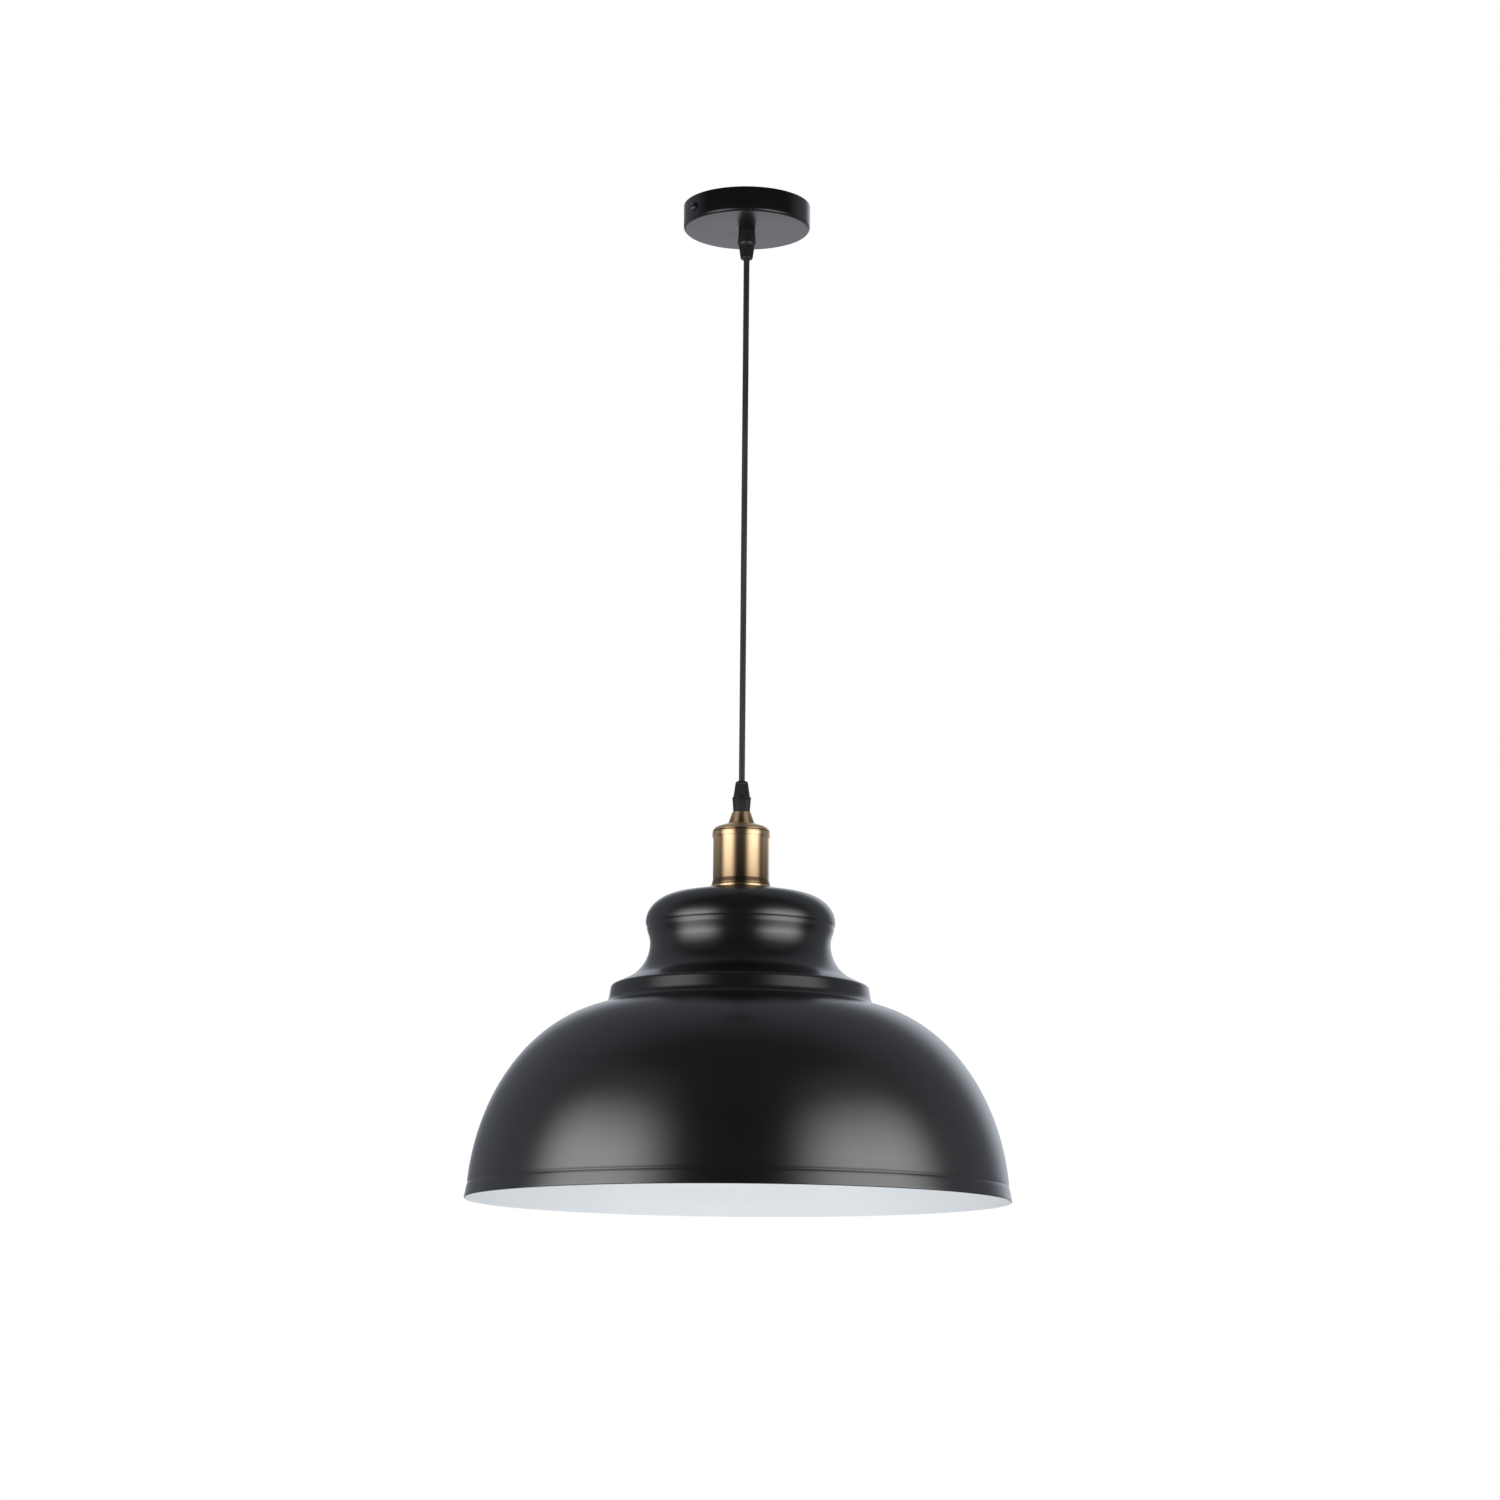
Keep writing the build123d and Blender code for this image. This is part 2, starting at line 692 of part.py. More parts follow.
# Brass cup: domed shoulder, rolled band, straight wall and a bead on the shade
shoulder_base = cup_top - cup_shoulder_height
band_bottom = shoulder_base - cup_band_height
bead_centre_radius = cup_bead_outer_radius - cup_bead_radius
flare_foot = shade_seat + 2 * cup_bead_radius
with BuildPart() as holder_cup:
    with BuildSketch(Plane.XZ):
        with BuildLine():
            shoulder = EllipticalCenterArc(
                (cup_shoulder_flat, shoulder_base),
                cup_band_radius - cup_shoulder_flat,
                cup_shoulder_height,
                start_angle=0,
                arc_size=90,
            )
            Polyline(shoulder @ 1, (0, cup_top), (0, shade_seat), (bead_centre_radius, shade_seat))
            CenterArc((bead_centre_radius, shade_seat + cup_bead_radius), cup_bead_radius, -90, 180)
            flare = TangentArc(
                (cup_radius, shade_seat + cup_flare_height),
                (bead_centre_radius, flare_foot),
                tangent=(0, -1),
            )
            Line(flare @ 0, (cup_radius, band_bottom - cup_wall))
            Polyline((cup_radius, band_bottom - cup_wall), (cup_band_radius, band_bottom), shoulder @ 0)
        make_face()
    revolve(axis=Axis.Z)
    with BuildSketch(Plane.XZ):
        with BuildLine():
            inner_shoulder = EllipticalCenterArc(
                (cup_shoulder_flat, shoulder_base),
                cup_radius - cup_wall - cup_shoulder_flat,
                cup_shoulder_height - cup_wall,
                start_angle=0,
                arc_size=90,
            )
            Polyline(
                inner_shoulder @ 1,
                (0, cup_top - cup_wall),
                (0, shade_seat),
                (cup_radius - cup_wall, shade_seat),
                inner_shoulder @ 0,
            )
        make_face()
    revolve(axis=Axis.Z, mode=Mode.SUBTRACT)
    with BuildSketch(Plane.XY.offset(cup_top)):
        Circle(stub_hole_radius)
    extrude(amount=-cup_wall, mode=Mode.SUBTRACT)
holder_cup.part.label = "holder_cup"
export_step(holder_cup.part, "parts/holder_cup.step")

# Holder strap: a hat section whose top lies under the cup's shoulder and whose feet stand on the socket
strap_top = cup_top - cup_wall
strap_screw_y = (holder_strap_half_length + holder_foot_reach) / 2
strap_earth_level = socket_top + ring_radius + running_gap
with BuildPart() as holder_strap:
    with BuildSketch(Plane.YZ):
        with BuildLine():
            Polyline(
                (0, strap_top),
                (holder_strap_half_length, strap_top),
                (holder_strap_half_length, socket_top + holder_strap_thickness),
                (holder_foot_reach, socket_top + holder_strap_thickness),
                (holder_foot_reach, socket_top),
                (holder_strap_half_length - holder_strap_thickness, socket_top),
                (holder_strap_half_length - holder_strap_thickness, strap_top - holder_strap_thickness),
                (0, strap_top - holder_strap_thickness),
                close=True,
            )
        make_face()
        mirror(about=Plane.YZ)
    extrude(amount=holder_strap_width / 2, both=True)
    with BuildSketch(Plane.XY.offset(strap_top)):
        Circle(stub_radius + fit_clearance)
    extrude(amount=-holder_strap_thickness, mode=Mode.SUBTRACT)
    with BuildSketch(Plane.XY.offset(socket_top)):
        with GridLocations(0, 2 * strap_screw_y, 1, 2):
            Circle(m3_radius + fit_clearance)
    extrude(amount=holder_strap_thickness, mode=Mode.SUBTRACT)
    with BuildSketch(Plane.XZ):
        with Locations((0, strap_earth_level)):
            Circle(m3_radius + fit_clearance)
    extrude(amount=holder_strap_half_length, mode=Mode.SUBTRACT)
holder_strap.part.label = "holder_strap"
export_step(holder_strap.part, "parts/holder_strap.step")

holder_lock_nut = make_lock_nut(
    Plane(origin=(0, 0, strap_top - holder_strap_thickness), x_dir=(1, 0, 0), z_dir=(0, 0, -1))
)
holder_lock_nut.part.label = "holder_lock_nut"
export_step(holder_lock_nut.part, "parts/holder_lock_nut.step")

strap_screw = make_screw(
    m3_head_radius, m3_head_height, m3_slot_width, m3_radius, strap_screw_depth + holder_strap_thickness
)
foot_top = socket_top + holder_strap_thickness
strap_screws = place_copies(
    strap_screw,
    Plane(origin=(0, strap_screw_y, foot_top)),
    Plane(origin=(0, -strap_screw_y, foot_top)),
)
strap_screws.part.label = "strap_screws"
export_step(strap_screws.part, "parts/strap_screws.step")

# Porcelain socket body
contact_rivet_x = contact_root + contact_foot_length / 2
with BuildPart() as socket_insulator:
    with BuildSketch(Plane.XY.offset(socket_mouth)):
        Circle(socket_radius)
    extrude(amount=socket_top - socket_mouth)
    with BuildSketch(Plane.XY.offset(socket_mouth)):
        Circle(socket_bore_radius)
    extrude(amount=socket_bore_depth, mode=Mode.SUBTRACT)
    with BuildSketch(Plane.XY.offset(socket_top)):
        with GridLocations(0, 2 * strap_screw_y, 1, 2):
            Circle(m3_radius + fit_clearance)
    extrude(amount=-strap_screw_depth - pass_clearance, mode=Mode.SUBTRACT)
    with BuildSketch(Plane.XY.offset(socket_floor)):
        with Locations((contact_rivet_x, 0), (-shell_rivet_offset, 0)):
            Circle(rivet_radius + fit_clearance)
    extrude(amount=socket_top - socket_floor, mode=Mode.SUBTRACT)
socket_insulator.part.label = "socket_insulator"
export_step(socket_insulator.part, "parts/socket_insulator.step")

# Screw shell: a thin wall in waves of the lamp thread's pitch, with a floor under the socket's floor
thread_middle = (shell_thread_crest + shell_thread_root) / 2
thread_swing = (shell_thread_root - shell_thread_crest) / 2
half_pitch = shell_pitch / 2
shell_mouth = socket_mouth + shell_mouth_inset
thread_start = socket_floor - shell_sheet - shell_turns * shell_pitch
with BuildPart() as socket_shell:
    with BuildSketch(Plane.XZ):
        with BuildLine():
            for wall_side in (0, shell_sheet):
                for half_turn in range(2 * shell_turns):
                    level = thread_start + half_turn * half_pitch
                    swing = thread_swing if half_turn % 2 == 0 else -thread_swing
                    ThreePointArc(
                        (thread_middle + wall_side, level),
                        (thread_middle + wall_side + swing, level + half_pitch / 2),
                        (thread_middle + wall_side, level + half_pitch),
                    )
            Polyline(
                (thread_middle, thread_start),
                (shell_thread_root, thread_start - half_pitch),
                (shell_thread_root, shell_mouth),
                (shell_thread_root + shell_sheet, shell_mouth),
                (shell_thread_root + shell_sheet, thread_start - half_pitch),
                (thread_middle + shell_sheet, thread_start),
            )
            thread_end = thread_start + shell_turns * shell_pitch
            Polyline(
                (thread_middle, thread_end),
                (shell_floor_hole, thread_end),
                (shell_floor_hole, socket_floor),
                (thread_middle + shell_sheet, socket_floor),
                (thread_middle + shell_sheet, thread_end),
            )
        make_face()
    revolve(axis=Axis.Z)
    with BuildSketch(Plane.XY.offset(socket_floor)):
        with Locations((-shell_rivet_offset, 0)):
            Circle(rivet_radius + fit_clearance)
    extrude(amount=-shell_sheet, mode=Mode.SUBTRACT)
socket_shell.part.label = "socket_shell"
export_step(socket_shell.part, "parts/socket_shell.step")

# Centre contact: a foot riveted to the socket's floor, and the tongue that springs from it
with BuildPart() as contact_foot:
    with BuildSketch(Plane.XY.offset(socket_floor)):
        with Locations((contact_rivet_x, 0)):
            Rectangle(contact_foot_length, contact_width)
            Circle(rivet_radius + fit_clearance, mode=Mode.SUBTRACT)
    extrude(amount=-contact_sheet)
contact_foot.part.label = "contact_foot"
export_step(contact_foot.part, "parts/contact_foot.step")

tongue_slope = radians(contact_tongue_angle)
tongue_plane = Plane(
    origin=(contact_root - running_gap, 0, socket_floor - contact_sheet / 2),
    x_dir=(-cos(tongue_slope), 0, -sin(tongue_slope)),
    z_dir=(0, 1, 0),
)
with BuildPart() as contact_tongue:
    with BuildSketch(tongue_plane):
        with Locations((contact_tongue_length / 2, 0)):
            Rectangle(contact_tongue_length, contact_sheet)
    extrude(amount=contact_width / 2, both=True)
contact_tongue.part.label = "contact_tongue"
export_step(contact_tongue.part, "parts/contact_tongue.step")


def make_rivet(x, under_head):
    """Rivet from a head under the socket's floor up to a terminal on the socket."""
    with BuildPart() as rivet:
        with BuildSketch(Plane.XY.offset(under_head)):
            with Locations((x, 0)):
                Circle(rivet_head_radius)
        extrude(amount=-rivet_head_height)
        with BuildSketch(Plane.XY.offset(under_head)):
            with Locations((x, 0)):
                Circle(rivet_radius)
        extrude(amount=socket_top - under_head)
    return rivet


contact_rivet = make_rivet(contact_rivet_x, socket_floor - contact_sheet)
contact_rivet.part.label = "contact_rivet"
export_step(contact_rivet.part, "parts/contact_rivet.step")

shell_rivet = make_rivet(-shell_rivet_offset, socket_floor - shell_sheet)
shell_rivet.part.label = "shell_rivet"
export_step(shell_rivet.part, "parts/shell_rivet.step")

# Terminal posts on the socket, each with a wire hole from above and a clamp screw from outside
post_screw_level = post_top - post_wire_depth / 2
post_face = post_offset + post_length / 2
with BuildPart() as socket_terminals:
    with BuildSketch(Plane.XY.offset(socket_top)):
        with GridLocations(2 * post_offset, 0, 2, 1):
            Rectangle(post_length, post_width)
    extrude(amount=post_height)
    with BuildSketch(Plane.XY.offset(post_top)):
        with GridLocations(2 * post_offset, 0, 2, 1):
            Circle(post_bore_radius)
    extrude(amount=-post_wire_depth, mode=Mode.SUBTRACT)
    for side in (-1, 1):
        with BuildSketch(Plane.YZ.offset(side * post_offset)):
            with Locations((0, post_screw_level)):
                Circle(clamp_screw_radius + fit_clearance)
        extrude(amount=side * post_length / 2, mode=Mode.SUBTRACT)
socket_terminals.part.label = "socket_terminals"
export_step(socket_terminals.part, "parts/socket_terminals.step")

post_screw = make_screw(
    clamp_head_radius,
    clamp_head_height,
    clamp_slot_width,
    clamp_screw_radius,
    post_length / 2 - conductor_diameter / 2,
)
socket_terminal_screws = place_copies(
    post_screw,
    Plane(origin=(post_face, 0, post_screw_level), x_dir=(0, 1, 0), z_dir=(1, 0, 0)),
    Plane(origin=(-post_face, 0, post_screw_level), x_dir=(0, 1, 0), z_dir=(-1, 0, 0)),
)
socket_terminal_screws.part.label = "socket_terminal_screws"
export_step(socket_terminal_screws.part, "parts/socket_terminal_screws.step")

# Earth ring and screw on the inner face of the holder strap's leg
strap_leg_face = holder_strap_half_length - holder_strap_thickness
earth_ring_bottom = make_ring_terminal(
    Plane(origin=(0, -strap_leg_face, strap_earth_level), x_dir=(0, 0, 1), z_dir=(0, 1, 0))
)
earth_ring_bottom.part.label = "earth_ring_bottom"
export_step(earth_ring_bottom.part, "parts/earth_ring_bottom.step")

strap_earth_screw_body = make_screw(
    m3_head_radius,
    m3_head_height,
    m3_slot_width,
    m3_radius,
    ring_thickness + holder_strap_thickness + running_gap,
)
strap_earth_screw = place_copies(
    strap_earth_screw_body,
    Plane(
        origin=(0, ring_thickness - strap_leg_face, strap_earth_level), x_dir=(1, 0, 0), z_dir=(0, 1, 0)
    ),
)
strap_earth_screw.part.label = "strap_earth_screw"
export_step(strap_earth_screw.part, "parts/strap_earth_screw.step")

# Cores in the cup, from the end of the sheath down to their terminals
post_drop = (lower_sheath_end - post_top) / 3
for side, name in ((1, "live_core_bottom"), (-1, "neutral_core_bottom")):
    core = make_core(
        name,
        [
            (side * core_x, core_y, lower_sheath_end),
            (side * core_x, core_y, lower_sheath_end - post_drop),
            (side * post_offset, 0, post_top + post_drop),
            (side * post_offset, 0, post_top),
        ],
    )
    core.part.label = name
    export_step(core.part, f"parts/{name}.step")

bottom_barrel_y = barrel_radius - strap_leg_face
bottom_barrel_stop = strap_earth_level + barrel_offset + ring_thickness
bottom_barrel_mouth = strap_earth_level + barrel_offset + barrel_length
earth_drop = (lower_sheath_end - bottom_barrel_mouth) / 3
earth_core_bottom = make_core(
    "earth_core_bottom",
    [
        (0, -core_ring_radius, lower_sheath_end),
        (0, -core_ring_radius, lower_sheath_end - earth_drop),
        (0, bottom_barrel_y, bottom_barrel_mouth + earth_drop),
        (0, bottom_barrel_y, bottom_barrel_stop),
    ],
)
earth_core_bottom.part.label = "earth_core_bottom"
export_step(earth_core_bottom.part, "parts/earth_core_bottom.step")

with BuildPart() as bare_ends_bottom:
    with BuildSketch(Plane.XY.offset(post_top)):
        with GridLocations(2 * post_offset, 0, 2, 1):
            Circle(conductor_diameter / 2)
    extrude(amount=-post_wire_depth)
bare_ends_bottom.part.label = "bare_ends_bottom"
export_step(bare_ends_bottom.part, "parts/bare_ends_bottom.step")

# Shade ring: turns on the socket's skirt and clamps the shade against the cup's bead
with BuildPart() as shade_ring:
    with BuildSketch(Plane.XY.offset(shade_seat - shade_wall)):
        Circle(shade_ring_radius)
        Circle(socket_radius + fit_clearance, mode=Mode.SUBTRACT)
        with PolarLocations(shade_ring_radius, shade_ring_grip_count):
            Circle(shade_ring_grip_radius, mode=Mode.SUBTRACT)
    extrude(amount=-shade_ring_height)
shade_ring.part.label = "shade_ring"
export_step(shade_ring.part, "parts/shade_ring.step")

# Levels of the shade's section
step_level = rim_level + shade_dome_height
band_level = step_level + shade_band_height
flare_level = band_level + shade_flare_rise
waist_level = flare_level + shade_neck_height
shoulder_level = waist_level + shade_waist_rise
crease_level = rim_level + shade_rim_band_height
dome_centre_level = rim_level - shade_dome_centre_drop


def make_shade_section(inset):
    """Half section of the shade, filled to its axis, with its outline moved inwards by inset.

    The dome is part of an ellipse from the step's ledge to the band at the rim, the shoulder part of
    another, and the waist two arcs that meet upright at the narrowest place of the neck.
    """
    dome_top_angle = radians(shade_dome_top_angle)
    dome_rise = (step_level - dome_centre_level) / sin(dome_top_angle)
    crease_angle = asin((crease_level - dome_centre_level) / dome_rise)
    dome_start = shade_band_bottom_radius + shade_ledge_width
    crease_radius = shade_rim_radius - shade_rim_flare
    dome_reach = (crease_radius - dome_start) / (cos(crease_angle) - cos(dome_top_angle))
    dome_centre = dome_start - dome_reach * cos(dome_top_angle)
    neck_spread = shade_flare_radius - shade_waist_radius
    neck_arc = (neck_spread**2 + shade_neck_height**2) / (2 * neck_spread)
    flare_turn = asin(shade_neck_height / neck_arc)
    flare_end = (
        shade_flare_radius - inset * cos(flare_turn),
        flare_level - inset * sin(flare_turn),
    )
    waist = (shade_waist_radius - inset, waist_level)
    with BuildSketch(Plane.XZ) as section:
        with BuildLine():
            dome = EllipticalCenterArc(
                (dome_centre, dome_centre_level),
                dome_reach - inset,
                dome_rise - inset,
                start_angle=degrees(crease_angle),
                arc_size=shade_dome_top_angle - degrees(crease_angle),
            )
            shoulder_arc = EllipticalCenterArc(
                (shade_shoulder_radius - shade_shoulder_width, shoulder_level),
                shade_shoulder_width - inset,
                shade_shoulder_height - inset,
                start_angle=0,
                arc_size=shade_shoulder_top_angle,
            )
            TangentArc(waist, shoulder_arc @ 0, tangent=(0, 1))
            TangentArc(waist, flare_end, tangent=(0, -1))
            FilletPolyline(
                flare_end,
                (shade_band_top_radius - inset, band_level - inset),
                (shade_band_bottom_radius - inset, step_level - inset),
                radius=shade_band_edge_radius,
            )
            Line((shade_band_bottom_radius - inset, step_level - inset), dome @ 1)
            Polyline(dome @ 0, (shade_rim_radius - inset, rim_level), (0, rim_level))
            Polyline((0, rim_level), (0, shade_seat - inset), (shade_seat_radius, shade_seat - inset))
            Line((shade_seat_radius, shade_seat - inset), shoulder_arc @ 1)
        make_face()
    return section.sketch


# Shade: a thin spun shell with a hole for the socket's skirt
outer_section = make_shade_section(0)
inner_section = make_shade_section(shade_wall)
with BuildPart() as shade:
    revolve(outer_section, axis=Axis.Z)
    revolve(inner_section, axis=Axis.Z, mode=Mode.SUBTRACT)
    with BuildSketch(Plane.XY.offset(shade_seat)):
        Circle(socket_radius + pass_clearance)
    extrude(amount=-shade_wall, mode=Mode.SUBTRACT)
shade.part.label = "shade"
export_step(shade.part, "parts/shade.step")

print("overall drop", round(-rim_level, 2), "shade height", round(shade_height, 2))
print("cord from exit to exit", round(upper_exit - lower_exit, 2))
print("pivots", round(upper_pivot, 2), round(side_pivot, 2), round(twist_level, 2), round(lower_pivot, 2))
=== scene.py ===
"""Pendant ceiling light: a satin black spun shade, white inside, on a brass holder under a taut cord.

Shapes are worked out in millimetres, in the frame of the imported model: +Z up, origin on the ceiling.
"""
import json

import bpy
import numpy as np
from mathutils import Matrix, Vector


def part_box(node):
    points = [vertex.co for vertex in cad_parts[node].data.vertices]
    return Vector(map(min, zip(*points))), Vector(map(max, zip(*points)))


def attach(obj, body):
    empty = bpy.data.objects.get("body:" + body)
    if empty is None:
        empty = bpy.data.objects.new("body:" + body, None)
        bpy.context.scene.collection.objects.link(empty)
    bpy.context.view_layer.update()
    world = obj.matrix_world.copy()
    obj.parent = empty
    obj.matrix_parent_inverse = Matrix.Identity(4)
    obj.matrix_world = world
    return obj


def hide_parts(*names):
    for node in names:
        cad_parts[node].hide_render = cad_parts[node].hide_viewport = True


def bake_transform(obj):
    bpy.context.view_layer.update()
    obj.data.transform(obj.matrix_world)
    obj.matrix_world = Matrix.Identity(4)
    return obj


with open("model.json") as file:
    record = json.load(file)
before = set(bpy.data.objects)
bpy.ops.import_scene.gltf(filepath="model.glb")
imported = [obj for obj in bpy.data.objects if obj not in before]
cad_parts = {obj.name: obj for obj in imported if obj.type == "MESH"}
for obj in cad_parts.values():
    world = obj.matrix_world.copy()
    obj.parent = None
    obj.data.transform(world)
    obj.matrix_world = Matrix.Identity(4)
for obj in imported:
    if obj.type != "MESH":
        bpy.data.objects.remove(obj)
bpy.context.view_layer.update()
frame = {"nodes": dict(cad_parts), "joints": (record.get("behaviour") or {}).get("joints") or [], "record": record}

MM = 0.001
joints = {joint["name"]: joint for joint in frame["joints"]}


def node_box(name):
    """Lowest and highest corner of a solid of the frame, in millimetres."""
    low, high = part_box(name)
    return np.array(low) / MM, np.array(high) / MM


def pivot_level(joint):
    """Height of a joint, in millimetres."""
    return joints[joint]["pos_m"][2] / MM


# Camera: distances in metres, angles in degrees, the sensor in millimetres

IMAGE_WIDTH = 1500
FOCAL_PIXELS = 3668.0
SENSOR_WIDTH = 36.0
CAMERA_AZIMUTH = -33.3
CAMERA_DISTANCE = 2.697
CAMERA_HEIGHT = -0.9228
CAMERA_PITCH = 10.47
CAMERA_TURN = 0.125
CAMERA_ROLL = 0.5


def add_camera():
    """Camera below the rim, looking up, with the light's axis a little left of the middle."""
    data = bpy.data.cameras.new("camera")
    data.sensor_width = SENSOR_WIDTH
    data.lens = SENSOR_WIDTH * FOCAL_PIXELS / IMAGE_WIDTH
    camera = bpy.data.objects.new("camera", data)
    bpy.context.scene.collection.objects.link(camera)
    turn = np.radians(CAMERA_AZIMUTH)
    place = Vector((np.sin(turn), -np.cos(turn), 0.0)) * CAMERA_DISTANCE
    place.z = CAMERA_HEIGHT
    camera.matrix_world = (
        Matrix.Translation(place)
        @ Matrix.Rotation(np.radians(CAMERA_AZIMUTH - CAMERA_TURN), 4, "Z")
        @ Matrix.Rotation(np.radians(90.0 + CAMERA_PITCH), 4, "X")
        @ Matrix.Rotation(np.radians(CAMERA_ROLL), 4, "Z")
    )
    bpy.context.scene.camera = camera


# Nodes and colours of the materials


def linear(code):
    """Linear colour of an sRGB hex code such as #a08040."""
    value = np.array([int(code[i : i + 2], 16) for i in (1, 3, 5)]) / 255.0
    bright = ((value + 0.055) / 1.055) ** 2.4
    return (*np.where(value <= 0.04045, value / 12.92, bright), 1.0)


def node(tree, kind, inputs=None, **settings):
    """Adds a node with its settings; inputs are values or the sockets that feed them."""
    made = tree.nodes.new("ShaderNode" + kind)
    for name, value in settings.items():
        setattr(made, name, value)
    for name, value in (inputs or {}).items():
        if isinstance(value, bpy.types.NodeSocket):
            tree.links.new(value, made.inputs[name])
        else:
            made.inputs[name].default_value = value
    return made


def new_material(name):
    """Empty node material: its tree, its surface shader and its Object coordinates."""
    material = bpy.data.materials.new(name)
    material.use_nodes = True
    tree = material.node_tree
    surface = tree.nodes["Principled BSDF"]
    place = node(tree, "TexCoord").outputs["Object"]
    return material, tree, surface, place


def per_mm(size):
    """Texture scale, per metre, of a pattern whose features are this many millimetres wide."""
    return 1.0 / (size * MM)


def paint(name, dark, light, roughness, peel_width, peel_depth, patch_width, index):
    """Baked coating: a faint orange peel in its gloss, and wide patches that differ a little in tone.

    Widths and depths are in millimetres, as in the materials below.
    """
    uneven = 0.03
    material, tree, surface, place = new_material(name)
    peel = node(tree, "TexNoise", {"Vector": place, "Scale": per_mm(peel_width), "Detail": 2.0})
    patches = node(tree, "TexNoise", {"Vector": place, "Scale": per_mm(patch_width), "Detail": 3.0})
    colour = node(
        tree,
        "Mix",
        {0: patches.outputs["Fac"], 6: linear(dark), 7: linear(light)},
        data_type="RGBA",
    )
    sheen = node(
        tree,
        "MapRange",
        {"Value": patches.outputs["Fac"], "To Min": roughness - uneven, "To Max": roughness + uneven},
    )
    bump = node(
        tree,
        "Bump",
        {"Height": peel.outputs["Fac"], "Strength": 0.5, "Distance": peel_depth * MM},
    )
    tree.links.new(colour.outputs[2], surface.inputs["Base Color"])
    tree.links.new(sheen.outputs["Result"], surface.inputs["Roughness"])
    tree.links.new(bump.outputs["Normal"], surface.inputs["Normal"])
    surface.inputs["IOR"].default_value = index
    return material


def moulding(name, dark, light, roughness, grain, depth, gloss=0.5):
    """Moulded plastic: a fine spark-eroded grain, with flow marks ten times as wide in tone and gloss.

    The real grain, about 0.1 mm wide, wouldn't show, so it is drawn coarser.
    """
    uneven = 0.05
    flow_width = 10 * grain
    material, tree, surface, place = new_material(name)
    fine = node(tree, "TexNoise", {"Vector": place, "Scale": per_mm(grain), "Detail": 2.0})
    flow = node(tree, "TexNoise", {"Vector": place, "Scale": per_mm(flow_width), "Distortion": 1.5})
    colour = node(
        tree, "Mix", {0: flow.outputs["Fac"], 6: linear(dark), 7: linear(light)}, data_type="RGBA"
    )
    sheen = node(
        tree,
        "MapRange",
        {"Value": flow.outputs["Fac"], "To Min": roughness - uneven, "To Max": roughness + uneven},
    )
    bump = node(
        tree, "Bump", {"Height": fine.outputs["Fac"], "Strength": 0.4, "Distance": depth * MM}
    )
    tree.links.new(colour.outputs[2], surface.inputs["Base Color"])
    tree.links.new(sheen.outputs["Result"], surface.inputs["Roughness"])
    tree.links.new(bump.outputs["Normal"], surface.inputs["Normal"])
    surface.inputs["Specular IOR Level"].default_value = gloss
    return material


def extrusion(name, dark, light, roughness, line_width, line_length):
    """Extruded plastic: die lines that run along Z, the paler ones a little glossier.

    Real ones, a few tenths of a millimetre wide, wouldn't show, so they are drawn coarser.
    """
    uneven = 0.04
    material, tree, surface, place = new_material(name)
    scale = (per_mm(line_width), per_mm(line_width), per_mm(line_length))
    drawn = node(tree, "Mapping", {"Vector": place, "Scale": scale})
    lines = node(tree, "TexNoise", {"Vector": drawn.outputs["Vector"], "Scale": 1.0, "Detail": 2.0})
    tone = node(tree, "MapRange", {"Value": lines.outputs["Fac"], "From Min": 0.35, "From Max": 0.65})
    colour = node(
        tree, "Mix", {0: tone.outputs["Result"], 6: linear(dark), 7: linear(light)}, data_type="RGBA"
    )
    sheen = node(
        tree,
        "MapRange",
        {"Value": tone.outputs["Result"], "To Min": roughness + uneven, "To Max": roughness - uneven},
    )
    tree.links.new(colour.outputs[2], surface.inputs["Base Color"])
    tree.links.new(sheen.outputs["Result"], surface.inputs["Roughness"])
    return material


def metal(name, dark, light, roughness, streaks, depth):
    """Bare or plated metal: streaks, sized along X, Y and Z, in its tone, its gloss and its surface.

    The marks of rolling and drawing, about 0.1 mm wide, wouldn't show, so they are drawn coarser.
    """
    uneven = 0.08
    material, tree, surface, place = new_material(name)
    stretched = node(
        tree, "Mapping", {"Vector": place, "Scale": tuple(per_mm(size) for size in streaks)}
    )
    grain = node(tree, "TexNoise", {"Vector": stretched.outputs["Vector"], "Scale": 1.0, "Detail": 3.0})
    colour = node(
        tree, "Mix", {0: grain.outputs["Fac"], 6: linear(dark), 7: linear(light)}, data_type="RGBA"
    )
    sheen = node(
        tree,
        "MapRange",
        {"Value": grain.outputs["Fac"], "To Min": roughness + uneven, "To Max": roughness - uneven},
    )
    bump = node(
        tree, "Bump", {"Height": grain.outputs["Fac"], "Strength": 0.3, "Distance": depth * MM}
    )
    tree.links.new(colour.outputs[2], surface.inputs["Base Color"])
    tree.links.new(sheen.outputs["Result"], surface.inputs["Roughness"])
    tree.links.new(bump.outputs["Normal"], surface.inputs["Normal"])
    surface.inputs["Metallic"].default_value = 1.0
    return material


